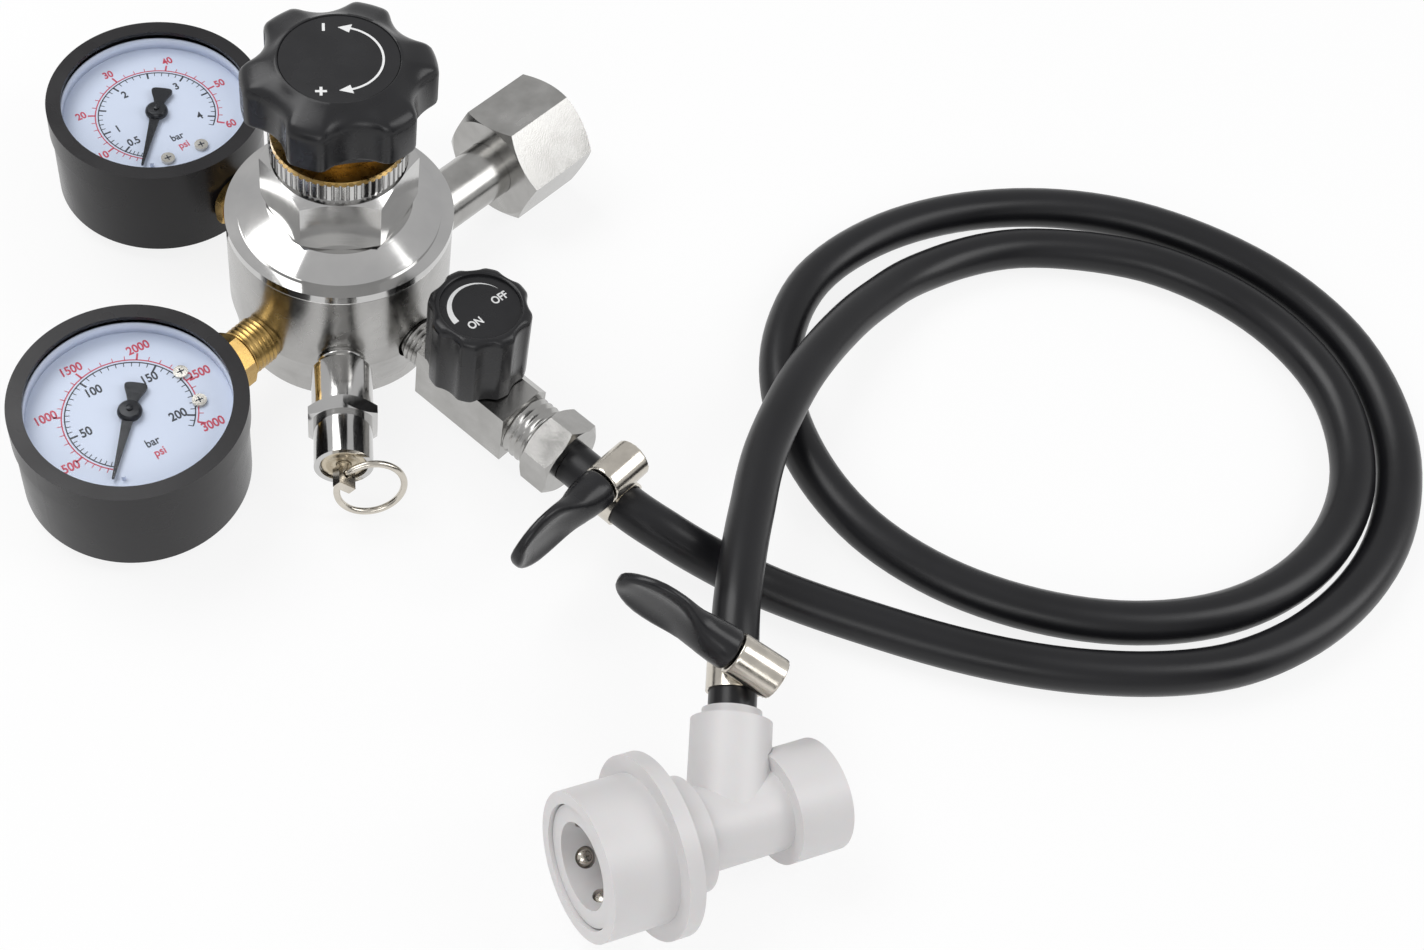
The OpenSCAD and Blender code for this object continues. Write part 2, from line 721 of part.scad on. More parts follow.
module gauge_tube(angle, r) color("goldenrod") at_gauge(angle, r) translate([0, 0, port_z])
    rotate(180 - asin(block_w / 2 / (tube_r - tube_t / 2)) - tube_sweep)
        rotate_extrude(angle = tube_sweep) translate([tube_r, 0])
            square([tube_t, tube_h], center = true);

// Two plates and their pillars; the upper plate rests on the block and carries the dial's posts
module gauge_movement(angle, r) color("goldenrod") at_gauge(angle, r) {
    block_face = case_r - block_wall_gap - block_len;
    difference() {
        union() {
            translate([-case_r + block_wall_gap, -movement_w / 2, block_top])
                cube([case_r - block_wall_gap + movement_reach, movement_w, movement_t]);
            for (i = [0, 1]) translate(screw_place(i)) translate([0, 0, block_top]) {
                cylinder(r = screw_ear_r, h = movement_t);
                cylinder(r = post_r, h = dial_z - block_top);
            }
            translate([-block_face + free_gap, -movement_w / 2, port_z - block_h / 2])
                cube([block_face + movement_reach - free_gap, movement_w, movement_t]);
            for (y = [-1, 1]) translate([movement_reach - 2 * pillar_r,
                y * (movement_w / 2 - pillar_r - free_gap), port_z - block_h / 2])
                cylinder(r = pillar_r, h = block_h + movement_t / 2);
        }
        for (i = [0, 1]) translate(screw_place(i)) translate([0, 0, block_top - overrun])
            cylinder(r = screw_shank_r + fit_gap, h = dial_z);
        cylinder(r = shaft_r + run_gap, h = gauge_top_z);
    }
}

module gauge_pointer(angle, r) color("#171719") at_gauge(angle, r) rotate(pointer_zero - angle) {
    blade_z = dial_z + dial_t + pointer_gap;
    translate([0, 0, port_z - block_h / 2 - movement_t])
        cylinder(r = shaft_r, h = blade_z - port_z + block_h / 2 + movement_t);
    translate([0, 0, blade_z]) cylinder(r = boss_r, h = boss_h);
    translate([0, 0, blade_z]) linear_extrude(pointer_t) polygon([
        [-pointer_tail, -tail_w / 2], [-pointer_tail, tail_w / 2], [0, pointer_w / 2],
        [pointer_len, pointer_w / 8], [pointer_len, -pointer_w / 8], [0, -pointer_w / 2]]);
}

module inlet_gauge_case() gauge_case(inlet_gauge_angle, inlet_gauge_r);
module inlet_gauge_bezel() gauge_bezel(inlet_gauge_angle, inlet_gauge_r);
module inlet_gauge_lens() gauge_lens(inlet_gauge_angle, inlet_gauge_r);
module inlet_gauge_dial() gauge_dial(inlet_gauge_angle, inlet_gauge_r);
module inlet_gauge_socket() gauge_socket(inlet_gauge_angle, inlet_gauge_r);
module inlet_gauge_tube() gauge_tube(inlet_gauge_angle, inlet_gauge_r);
module inlet_gauge_movement() gauge_movement(inlet_gauge_angle, inlet_gauge_r);
module inlet_gauge_pointer() gauge_pointer(inlet_gauge_angle, inlet_gauge_r);
module outlet_gauge_case() gauge_case(outlet_gauge_angle, outlet_gauge_r);
module outlet_gauge_bezel() gauge_bezel(outlet_gauge_angle, outlet_gauge_r);
module outlet_gauge_lens() gauge_lens(outlet_gauge_angle, outlet_gauge_r);
module outlet_gauge_dial() gauge_dial(outlet_gauge_angle, outlet_gauge_r);
module outlet_gauge_socket() gauge_socket(outlet_gauge_angle, outlet_gauge_r);
module outlet_gauge_tube() gauge_tube(outlet_gauge_angle, outlet_gauge_r);
module outlet_gauge_movement() gauge_movement(outlet_gauge_angle, outlet_gauge_r);
module outlet_gauge_pointer() gauge_pointer(outlet_gauge_angle, outlet_gauge_r);

// The four screws that hold the two dials
module dial_screws() color("silver")
    for (g = [[inlet_gauge_angle, inlet_gauge_r], [outlet_gauge_angle, outlet_gauge_r]], i = [0, 1])
        at_gauge(g[0], g[1]) translate(screw_place(i)) translate([0, 0, dial_z + dial_t]) {
            cylinder(r = screw_head_r, h = screw_head_h);
            translate([0, 0, block_top - dial_z - dial_t])
                cylinder(r = screw_shank_r, h = dial_z + dial_t - block_top);
        }

module relief_body() color("gainsboro") at_port(relief_angle) difference() {
    union() {
        translate([0, 0, outlet_thread_r])
            cylinder(d = port_d - 2 * fit_gap, h = relief_barrel_x - outlet_thread_r + overrun);
        translate([0, 0, relief_barrel_x]) cylinder(d = relief_d, h = relief_barrel_len);
        translate([0, 0, relief_hex_x]) hex_bar(relief_hex_af, relief_hex_h);
    }
    cylinder(r = relief_orifice_r, h = relief_end_x);
    translate([0, 0, relief_cavity_x]) cylinder(r = relief_cavity_r, h = relief_end_x);
}

module relief_cap() color("gainsboro") at_port(relief_angle) difference() {
    union() {
        translate([0, 0, relief_cap_x]) cylinder(d = relief_cap_d, h = relief_cap_len);
        translate([0, 0, relief_cap_x - relief_cap_spigot])
            cylinder(r = relief_cavity_r - fit_gap, h = relief_cap_spigot + overrun);
    }
    translate([0, 0, relief_cap_x - relief_cap_spigot - overrun])
        cylinder(r = relief_head_r + free_gap,
            h = relief_cap_len + relief_cap_spigot + overrun - relief_cap_wall - relief_recess_h);
    cylinder(r = relief_pin_r + run_gap, h = eye_x);
    translate([0, 0, relief_end_x - relief_recess_h])
        cylinder(r = relief_cap_d / 2 - relief_cap_wall, h = relief_cap_len);
}

module relief_spring() color("silver") at_port(relief_angle)
    translate([0, 0, relief_cavity_x + relief_head_h + rest_gap])
        coil(relief_spring_r, relief_end_x - relief_cap_wall - relief_recess_h - relief_cavity_x
            - relief_head_h - rest_gap, relief_wire_d, relief_turns);

// The pin's flattened eye carries the ring, which leans down to the table
module relief_pin() color("silver") at_port(relief_angle) difference() {
    union() {
        translate([0, 0, relief_cavity_x + rest_gap]) cylinder(r = relief_head_r, h = relief_head_h);
        translate([0, 0, relief_cavity_x + rest_gap])
            cylinder(r = relief_pin_r, h = eye_x - relief_cavity_x);
        rotate(-ring_lean) translate([-eye_t / 2, -eye_w / 2, eye_x - relief_pin_r])
            cube([eye_t, eye_w, relief_pin_r + relief_pin_lip]);
    }
    rotate(-ring_lean) translate([0, 0, eye_x]) rotate([0, 90, 0])
        cylinder(r = eye_hole_r, h = relief_d, center = true);
}

module pull_ring() color("silver") at_port(relief_angle) rotate(-ring_lean)
    translate([0, 0, eye_x]) rotate([0, -ring_tilt, 0]) translate([0, ring_mean_r, 0])
        rotate_extrude() translate([ring_mean_r, 0]) circle(d = ring_wire_d);

module valve_body() color("silver") difference() {
    union() {
        at_port(valve_angle) {
            translate([0, 0, outlet_thread_r]) cylinder(r = nipple_r, h = valve_x - outlet_thread_r);
            translate([0, 0, valve_x]) rotate(180) linear_extrude(valve_len) polygon([
                [-valve_h / 2, -valve_w / 2], [valve_h / 2 - valve_chamfer, -valve_w / 2],
                [valve_h / 2, valve_chamfer - valve_w / 2], [valve_h / 2, valve_w / 2],
                [-valve_h / 2, valve_w / 2]]);
            translate([0, 0, valve_end_x]) cylinder(r = valve_thread_r, h = valve_thread_len);
        }
    }
    at_port(valve_angle) cylinder(r = valve_bore_r, h = thread_end_x + overrun);
    rotate(valve_angle) translate([valve_knob_x, 0, port_z - valve_bore_r])
        cylinder(r = stem_seat_r, h = valve_h);
    rotate(valve_angle) translate([valve_knob_x, 0, port_z + valve_bore_r])
        cylinder(r = stem_well_r + fit_gap, h = valve_h);
}

// The valve's own vertical axis
module at_valve_stem() rotate(valve_angle) translate([valve_knob_x, 0, 0]) children();

module packing_nut() color("silver") at_valve_stem() difference() {
    union() {
        translate([0, 0, port_z + valve_h / 2]) hex_bar(packing_af, packing_h);
        translate([0, 0, port_z + valve_bore_r + fit_gap])
            cylinder(r = stem_well_r, h = valve_h / 2 - valve_bore_r + overrun);
    }
    cylinder(r = valve_stem_r + run_gap, h = gauge_top_z);
}

module valve_stem() color("goldenrod") at_valve_stem() {
    translate([0, 0, port_z - valve_bore_r + rest_gap])
        cylinder(r = stem_seat_r - run_gap, h = 2 * valve_bore_r - 2 * rest_gap);
    translate([0, 0, port_z - valve_bore_r + rest_gap])
        cylinder(r = valve_stem_r, h = valve_knob_z + valve_knob_socket - port_z + valve_bore_r
            - rest_gap);
}

module valve_knob() color("#29292b") at_valve_stem() translate([0, 0, valve_knob_z]) difference() {
    for (s = valve_knob_shares) rotate(valve_knob_turn - valve_angle)
        linear_extrude(s[1] * valve_knob_h)
            lobed_outline(s[0] * valve_knob_d, valve_knob_valley, valve_knob_lobes);
    difference() {
        translate([0, 0, -overrun])
            cylinder(d = valve_knob_d - 2 * valve_knob_wall - valve_knob_valley,
                h = valve_knob_socket + overrun);
        translate([0, 0, packing_h + valve_h / 2 + port_z - valve_knob_z + free_gap])
            cylinder(r = stem_well_r, h = valve_knob_h);
    }
    translate([0, 0, -overrun]) cylinder(r = valve_stem_r + fit_gap, h = valve_knob_socket + overrun);
    translate([0, 0, valve_knob_h - valve_knob_recess])
        cylinder(d = valve_knob_d - 3 * valve_knob_wall, h = valve_knob_h);
}

module hose_tail() color("goldenrod") at_port(valve_angle) difference() {
    union() {
        translate([0, 0, thread_end_x + fit_gap]) cylinder(r = valve_thread_r - overrun, h = tail_head_len);
        translate([0, 0, thread_end_x + fit_gap]) cylinder(d = barb_d, h = hose_start_x - thread_end_x);
        translate([0, 0, hose_start_x]) barbs(tail_barb_len);
    }
    cylinder(r = barb_bore_r, h = hose_start_x + tail_barb_len + overrun);
}

module hose_nut() color("silver") at_port(valve_angle) difference() {
    translate([0, 0, hose_nut_x]) hex_bar(hose_nut_af, hose_nut_h);
    translate([0, 0, hose_nut_x - overrun])
        cylinder(r = valve_thread_r + fit_gap, h = thread_end_x + tail_head_len + 2 * fit_gap
            - hose_nut_x + overrun);
    cylinder(d = barb_d + 2 * fit_gap, h = hose_start_x);
}

hose_path = smooth(route);
echo(hose_length = path_len(hose_path), least_gap = least_gap(hose_path, hose_d));
module hose() color("#1d1d1f") sweep(hose_path, hose_r, hose_sides);

module clamp_bands() color("silver") for (i = [1, 2]) at_clamp(i)
    translate([0, 0, -band_w / 2]) tube(band_r + band_t, band_r, band_w);

// The screw housing stands on the band, open towards the key
module at_housing(which) at_clamp(which) rotate([which == 2 ? clamp_skew_2 : 0, 0, 0])
    translate([-clamp_screw_x, 0, 0]) rotate([90, 0, 0]) translate([0, 0, housing_shift]) children();
module clamp_housings() color("silver") for (i = [1, 2]) at_housing(i) difference() {
        translate([0, 0, -housing_len / 2]) union() {
            cylinder(r = housing_r, h = housing_len);
            translate([0, -band_w / 2, 0])
                cube([clamp_screw_r + rest_gap, band_w, housing_len]);
        }
        translate([0, 0, -housing_len / 2 - overrun])
            cylinder(r = clamp_screw_r + run_gap, h = housing_len + 2 * overrun);
        translate([clamp_screw_r + rest_gap, -housing_r, -housing_len])
            cube([housing_r, 2 * housing_r, 2 * housing_len]);
    }

// Steel screw with a moulded hub and thumb wing
module clamp_key(which) color("#232325") at_housing(which) {
        translate([0, 0, -housing_len / 2])
            cylinder(r = clamp_screw_r, h = housing_len + free_gap + overrun);
        translate([0, 0, housing_len / 2 + free_gap]) cylinder(r = hub_r, h = hub_len);
        translate([0, wing_t / 2, housing_len / 2 + free_gap]) rotate([90, 0, 0])
            linear_extrude(wing_t) polygon(concat(
                [for (s = wing_shares) [-s[0] * wing_w / 2, s[1] * key_len]],
                [for (i = [3 : -1 : 0]) [wing_shares[i][0] * wing_w / 2, wing_shares[i][1] * key_len]]));
    }
module clamp_key_1() clamp_key(1);
module clamp_key_2() clamp_key(2);

// Disconnect, drawn along +z from its mouth
skirt_r = sleeve_d / 2 - sleeve_wall;
module coupler_body() color("gainsboro") at_coupler() difference() {
    union() {
        translate([0, 0, overrun]) cylinder(r = skirt_r - skirt_gap, h = barrel_x - overrun);
        translate([0, 0, barrel_x]) cylinder(r = barrel_r, h = neck_x - barrel_x);
        translate([0, 0, neck_x]) cylinder(r = coupler_neck_r, h = neck_len);
        translate([0, 0, neck_x]) cylinder(r = coupler_tube_r, h = coupler_cap_x - neck_x);
        translate([0, 0, column_root_x]) rotate([0, column_polar, column_spin]) {
            cylinder(d = column_d, h = column_len - column_round);
            cylinder(d = column_d - 2 * column_round, h = column_len);
            translate([0, 0, column_len]) barbs(tail_barb_len);
        }
    }
    cylinder(d = socket_d, h = socket_depth);
    translate([0, 0, socket_groove_x]) cylinder(r = socket_d / 2 + socket_groove_r,
        h = 2 * socket_groove_r);
    cylinder(r = coupler_poppet_head_r / 2, h = coupler_cap_x);
    translate([0, 0, neck_x]) cylinder(r = poppet_bore_r, h = coupler_cap_x);
    translate([0, 0, coupler_cap_x]) cylinder(r = cap_d / 2 + free_gap, h = coupler_cap_x);
    translate([0, 0, column_root_x]) rotate([0, column_polar, column_spin])
        cylinder(r = barb_bore_r, h = column_len + tail_barb_len + overrun);
    for (i = [1 : ball_count]) rotate(ball_turn + i * 360 / ball_count) translate([0, 0, ball_x])
        rotate([0, 90, 0]) cylinder(d = ball_d + 2 * fit_gap, h = sleeve_d);
}

// The sleeve's inner lip carries the spring that pushes the sleeve towards the mouth
module coupler_sleeve() color("gainsboro") at_coupler() difference() {
    union() {
        cylinder(d = sleeve_d, h = sleeve_len);
        translate([0, 0, sleeve_len - flange_len]) cylinder(d = flange_d, h = flange_len);
    }
    translate([0, 0, -overrun]) cylinder(r = skirt_r, h = lip_x + overrun);
    translate([0, 0, lip_x - overrun]) cylinder(r = barrel_r + lip_gap, h = sleeve_len);
    translate([0, 0, lip_x + lip_len]) cylinder(r = skirt_r, h = sleeve_len);
}

module coupler_cap() color("gainsboro") at_coupler() translate([0, 0, coupler_cap_x]) {
    cylinder(d = cap_d, h = coupler_cap_len);
    translate([0, 0, -neck_len]) cylinder(r = poppet_bore_r - fit_gap, h = neck_len + overrun);
}

module coupler_poppet() color("goldenrod") at_coupler() {
    translate([0, 0, neck_x + rest_gap])
        cylinder(r = coupler_poppet_head_r, h = coupler_poppet_head_h);
    translate([0, 0, socket_depth / 2])
        cylinder(r = coupler_poppet_r, h = neck_x - socket_depth / 2 + overrun);
}

module coupler_spring() color("silver") at_coupler()
    translate([0, 0, neck_x + rest_gap + coupler_poppet_head_h])
        coil(coupler_poppet_head_r - coupler_wire_d / 2,
            coupler_cap_x - neck_len - neck_x - rest_gap - coupler_poppet_head_h,
            coupler_wire_d, coupler_turns);

module coupler_sleeve_spring() color("silver") at_coupler() translate([0, 0, lip_x + lip_len])
    coil((barrel_r + skirt_r) / 2, neck_x - lip_x - lip_len, coupler_wire_d, sleeve_spring_turns);

module coupler_seal() color("#202022") at_coupler()
    translate([0, 0, socket_groove_x + socket_groove_r]) rotate_extrude()
        translate([socket_d / 2 + socket_groove_r - seal_r - fit_gap, 0]) circle(r = seal_r);

module coupler_balls() color("silver") at_coupler() for (i = [1 : ball_count])
    rotate(ball_turn + i * 360 / ball_count)
        translate([skirt_r - ball_d / 2 - rest_gap, 0, ball_x]) sphere(d = ball_d);

regulator_body();
bonnet();
knurled_collar();
screw_bush();
diaphragm();
diaphragm_plate();
range_spring();
spring_seat();
adjusting_screw();
pressure_knob();
knob_disc();
seat_nozzle();
seat_poppet();
poppet_spring();
inlet_stem();
inlet_nut();
inlet_washer();
inlet_filter();
inlet_gauge_case();
inlet_gauge_bezel();
inlet_gauge_lens();
inlet_gauge_dial();
inlet_gauge_socket();
inlet_gauge_tube();
inlet_gauge_movement();
inlet_gauge_pointer();
outlet_gauge_case();
outlet_gauge_bezel();
outlet_gauge_lens();
outlet_gauge_dial();
outlet_gauge_socket();
outlet_gauge_tube();
outlet_gauge_movement();
outlet_gauge_pointer();
dial_screws();
relief_body();
relief_cap();
relief_spring();
relief_pin();
pull_ring();
valve_body();
valve_stem();
packing_nut();
valve_knob();
hose_tail();
hose_nut();
hose();
clamp_bands();
clamp_housings();
clamp_key_1();
clamp_key_2();
coupler_body();
coupler_sleeve();
coupler_cap();
coupler_poppet();
coupler_spring();
coupler_sleeve_spring();
coupler_seal();
coupler_balls();
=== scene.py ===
import json
import math
import bmesh
import bpy
from mathutils import Matrix, Vector


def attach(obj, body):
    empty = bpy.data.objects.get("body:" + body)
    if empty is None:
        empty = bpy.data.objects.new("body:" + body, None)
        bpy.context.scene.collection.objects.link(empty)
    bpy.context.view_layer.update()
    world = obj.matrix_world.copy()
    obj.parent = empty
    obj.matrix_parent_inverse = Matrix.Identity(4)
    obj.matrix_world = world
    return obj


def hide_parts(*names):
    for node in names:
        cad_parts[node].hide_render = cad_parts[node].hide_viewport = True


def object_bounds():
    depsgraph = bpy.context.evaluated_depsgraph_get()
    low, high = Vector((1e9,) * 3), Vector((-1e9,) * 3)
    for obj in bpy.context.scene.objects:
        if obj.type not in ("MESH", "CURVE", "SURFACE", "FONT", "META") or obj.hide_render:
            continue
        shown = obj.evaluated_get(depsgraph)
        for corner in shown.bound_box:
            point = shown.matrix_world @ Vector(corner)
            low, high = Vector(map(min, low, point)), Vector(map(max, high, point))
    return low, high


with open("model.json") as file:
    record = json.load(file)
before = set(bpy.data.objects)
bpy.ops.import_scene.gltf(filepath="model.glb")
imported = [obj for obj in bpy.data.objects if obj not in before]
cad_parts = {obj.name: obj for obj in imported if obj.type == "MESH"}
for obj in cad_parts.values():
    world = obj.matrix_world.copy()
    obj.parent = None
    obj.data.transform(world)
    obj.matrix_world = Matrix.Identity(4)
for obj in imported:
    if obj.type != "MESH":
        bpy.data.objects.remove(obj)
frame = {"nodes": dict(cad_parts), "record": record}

cad_box = [[float(v) for v in corner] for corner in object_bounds()]
nodes = frame["nodes"]
scene = bpy.context.scene
MM = 0.001

# The camera stands in front of the relief valve and looks down on the table
photo_width, photo_height = 1424, 950
camera_at = Vector((-5.162, -342.305, 426.97)) * MM
camera_right = Vector((0.99761, -0.05002, 0.04765))
camera_up = Vector((0.01481, 0.82863, 0.55957))
camera_forward = Vector((0.06747, 0.55753, -0.8274))
focal_px, centre_px = 1959.8, 456.0
camera_data = bpy.data.cameras.new("camera")
camera_data.sensor_width = 36
camera_data.lens = 36 * focal_px / photo_width
camera_data.shift_x = (photo_width / 2 - centre_px) / photo_width
camera_data.clip_start = 0.01
camera = bpy.data.objects.new("camera", camera_data)
scene.collection.objects.link(camera)
camera.matrix_world = Matrix((
    (camera_right.x, camera_up.x, -camera_forward.x, camera_at.x),
    (camera_right.y, camera_up.y, -camera_forward.y, camera_at.y),
    (camera_right.z, camera_up.z, -camera_forward.z, camera_at.z),
    (0, 0, 0, 1)))
scene.camera = camera


# Materials
def linear(hex_colour):
    """A linear colour from an sRGB hex value."""
    parts = [int(hex_colour[i:i + 2], 16) / 255 for i in (1, 3, 5)]
    return [p / 12.92 if p <= 0.04045 else ((p + 0.055) / 1.055) ** 2.4 for p in parts] + [1.0]


def add(tree, kind, links=None, **settings):
    """A shader node with its settings, and its inputs by name or number."""
    made = tree.nodes.new(kind)
    for key, value in settings.items():
        setattr(made, key, value)
    for key, value in (links or {}).items():
        if isinstance(value, bpy.types.NodeSocket):
            tree.links.new(value, made.inputs[key])
        else:
            made.inputs[key].default_value = value
    return made


def finish_of(name, **sockets):
    """A new material with its shader's sockets set; returns the material, its tree and its shader."""
    made = bpy.data.materials.new(name)
    made.use_nodes = True
    tree = made.node_tree
    shader = next(n for n in tree.nodes if n.type == "BSDF_PRINCIPLED")
    for key, value in sockets.items():
        shader.inputs[key.replace("_", " ")].default_value = value
    return made, tree, shader


def patches(tree, shader, low, high, size_mm, detail, rough_low, rough_high):
    """Colour and roughness drift between two values in soft patches of the given size."""
    place = add(tree, "ShaderNodeTexCoord")
    noise = add(tree, "ShaderNodeTexNoise", {"Vector": place.outputs["Object"],
                "Scale": 1000 / size_mm, "Detail": detail})
    tint = add(tree, "ShaderNodeMixRGB", {"Fac": noise.outputs["Fac"],
               "Color1": linear(low), "Color2": linear(high)})
    dull = add(tree, "ShaderNodeMapRange", {"Value": noise.outputs["Fac"],
               "From Min": 0.3, "From Max": 0.7, "To Min": rough_low, "To Max": rough_high})
    tree.links.new(tint.outputs[0], shader.inputs["Base Color"])
    tree.links.new(dull.outputs[0], shader.inputs["Roughness"])
    return place


def grain(tree, shader, place, size_mm, depth_mm, stretch=(1, 1, 1)):
    """A bump of fine grain; stretch squeezes it along an axis, as a lathe or a belt leaves it."""
    squeeze = add(tree, "ShaderNodeMapping", {"Vector": place.outputs["Object"], "Scale": stretch})
    noise = add(tree, "ShaderNodeTexNoise", {"Vector": squeeze.outputs["Vector"],
                "Scale": 1000 / size_mm, "Detail": 3})
    bump = add(tree, "ShaderNodeBump", {"Height": noise.outputs["Fac"],
               "Distance": depth_mm * MM, "Strength": 1.0})
    tree.links.new(bump.outputs["Normal"], shader.inputs["Normal"])


# Nickel-plated zinc, cast and tumbled: a cloudy grey mirror
plated_zinc, tree, shader = finish_of("nickel_plated_zinc", Metallic=1.0)
place = patches(tree, shader, "#8f8e8c", "#cbcac8", 9, 5, 0.16, 0.34)
grain(tree, shader, place, 0.9, 0.02, (1, 1, 3))

# Chrome plate on turned brass: a sharp mirror with fine lathe lines round the axis
chrome, tree, shader = finish_of("turned_chrome_plate", Metallic=1.0)
place = patches(tree, shader, "#b6b6b6", "#d6d5d3", 14, 3, 0.07, 0.15)
grain(tree, shader, place, 0.6, 0.006, (0.05, 0.05, 4))

# Nickel plate on milled brass: softer than chrome, with faint belt marks
satin_nickel, tree, shader = finish_of("milled_nickel_plate", Metallic=1.0)
place = patches(tree, shader, "#93928f", "#c0bfbd", 8, 3, 0.16, 0.28)
grain(tree, shader, place, 0.8, 0.012, (3, 1, 1))

# Bare free-cutting brass, turned and milled: golden, with tool marks
brass, tree, shader = finish_of("milled_brass", Metallic=1.0)
place = patches(tree, shader, "#94743a", "#d6b575", 3, 6, 0.2, 0.36)
grain(tree, shader, place, 0.7, 0.02, (1, 1, 5))

# Stainless steel, pressed and polished: a warm soft mirror
steel, tree, shader = finish_of("polished_stainless", Metallic=1.0)
place = patches(tree, shader, "#b5afa5", "#e6e0d5", 5, 4, 0.12, 0.26)
grain(tree, shader, place, 0.5, 0.008, (1, 1, 4))

# Oil-dark spring wire
spring_wire, tree, shader = finish_of("spring_wire", Metallic=1.0)
place = patches(tree, shader, "#5b5b5d", "#8c8c8d", 3, 3, 0.3, 0.42)
grain(tree, shader, place, 0.4, 0.01)

# Moulded nylon with black pigment: satin, with a fine spark-eroded grain
black_nylon, tree, shader = finish_of("moulded_black_nylon", IOR=1.53, Specular_IOR_Level=0.3)
place = patches(tree, shader, "#1b1b1d", "#242426", 10, 3, 0.22, 0.32)
grain(tree, shader, place, 0.35, 0.012)

# Stoved black enamel on pressed steel: semi-gloss with a slight orange peel
black_enamel, tree, shader = finish_of("black_enamel", IOR=1.5, Specular_IOR_Level=0.28)
place = patches(tree, shader, "#1b1a1c", "#222123", 16, 2, 0.24, 0.34)
grain(tree, shader, place, 1.4, 0.012)

# White enamel on the dials: slightly blue, evenly printed
dial_enamel, tree, shader = finish_of("dial_enamel", IOR=1.5)
place = patches(tree, shader, "#cfd6e6", "#dae0ee", 20, 2, 0.36, 0.44)
grain(tree, shader, place, 0.5, 0.003)

# Printing inks
red_ink, tree, shader = finish_of("red_dial_ink", IOR=1.5)
patches(tree, shader, "#c23a4e", "#cf5468", 2, 3, 0.4, 0.5)
black_ink, tree, shader = finish_of("black_dial_ink", IOR=1.5)
patches(tree, shader, "#2b2d33", "#3a3d45", 2, 3, 0.4, 0.5)
white_ink, tree, shader = finish_of("white_pad_ink", IOR=1.5)
patches(tree, shader, "#dfe0e0", "#ececec", 2, 3, 0.4, 0.5)

# Acetal in light grey, moulded: slightly waxy
grey_acetal, tree, shader = finish_of("moulded_grey_acetal", IOR=1.48, Subsurface_Weight=0.08,
                                     Subsurface_Scale=0.002)
place = patches(tree, shader, "#d3d1d1", "#dcdada", 12, 3, 0.34, 0.44)
grain(tree, shader, place, 0.5, 0.008)

# White nylon washer, black nitrile rubber and the hose's extruded cover
white_nylon, tree, shader = finish_of("white_nylon", IOR=1.53)
patches(tree, shader, "#dcdad2", "#e8e6df", 4, 3, 0.42, 0.52)
nitrile, tree, shader = finish_of("nitrile_rubber", IOR=1.5)
place = patches(tree, shader, "#1b1b1d", "#252528", 3, 3, 0.45, 0.6)
grain(tree, shader, place, 0.4, 0.01)
hose_cover, tree, shader = finish_of("extruded_hose_cover", IOR=1.5, Specular_IOR_Level=0.35)
place = patches(tree, shader, "#111113", "#1a1a1d", 24, 3, 0.28, 0.38)
grain(tree, shader, place, 0.9, 0.014)

# Flat clear lens: it lets nearly all light through and keeps a faint gloss on its outer side
lens_glass = bpy.data.materials.new("clear_lens")
lens_glass.use_nodes = True
tree = lens_glass.node_tree
tree.nodes.clear()
clear = add(tree, "ShaderNodeBsdfTransparent", {"Color": (0.97, 0.98, 0.99, 1)})
gloss = add(tree, "ShaderNodeBsdfGlossy", {"Color": (1, 1, 1, 1), "Roughness": 0.03})
edge = add(tree, "ShaderNodeFresnel", {"IOR": 1.1})
side = add(tree, "ShaderNodeNewGeometry")
front = add(tree, "ShaderNodeMath", {0: 1.0, 1: side.outputs["Backfacing"]}, operation="SUBTRACT")
faint = add(tree, "ShaderNodeMath", {0: edge.outputs[0], 1: front.outputs[0]}, operation="MULTIPLY")
both = add(tree, "ShaderNodeMixShader", {0: faint.outputs[0], 1: clear.outputs[0], 2: gloss.outputs[0]})
add(tree, "ShaderNodeOutputMaterial", {"Surface": both.outputs[0]})

slot_finish = {
    "plated_zinc": plated_zinc, "chrome": chrome, "satin_nickel": satin_nickel, "brass": brass,
    "steel": steel, "spring_steel": spring_wire, "black_plastic": black_nylon,
    "black_paint": black_enamel, "dial_white": dial_enamel, "clear": lens_glass,
    "pale_plastic": grey_acetal, "nylon": white_nylon, "rubber_black": nitrile,
    "hose_pvc": hose_cover}
slot_of = {part["node"]: part["material_slot"] for part in frame["record"]["subparts"]}

# Edges of the machined and moulded pieces are broken a little
edge_round = {
    "regulator_body": 0.5, "bonnet": 0.35, "knurled_collar": 0.15, "screw_bush": 0.3,
    "inlet_nut": 0.5, "inlet_stem": 0.3, "relief_body": 0.35,
    "relief_cap": 0.4, "valve_body": 0.5, "packing_nut": 0.3, "hose_nut": 0.4, "coupler_body": 0.4,
    "coupler_sleeve": 0.5, "coupler_cap": 0.6, "inlet_gauge_case": 0.6, "outlet_gauge_case": 0.6,
    "inlet_gauge_bezel": 0.5, "outlet_gauge_bezel": 0.5, "inlet_gauge_socket": 0.3,
    "outlet_gauge_socket": 0.3,
    "dial_screws": 0.3, "clamp_bands": 0.15}
for name, thing in nodes.items():
    thing.data.materials.clear()
    thing.data.materials.append(slot_finish[slot_of[name]])
    if name in edge_round:
        bevel = thing.modifiers.new("broken_edges", "BEVEL")
        bevel.width = edge_round[name] * MM
        bevel.segments = 2
        bevel.limit_method = "ANGLE"
        bevel.angle_limit = math.radians(32)
        bevel.harden_normals = False
        bevel.use_clamp_overlap = True

# The clamps' pressed housings have soft corners all over
skin = nodes["clamp_housings"].modifiers.new("pressed_skin", "REMESH")
skin.mode, skin.voxel_size, skin.use_smooth_shade = "VOXEL", 0.32 * MM, True
soft = nodes["clamp_housings"].modifiers.new("soft_corners", "SMOOTH")
soft.factor, soft.iterations = 0.5, 4


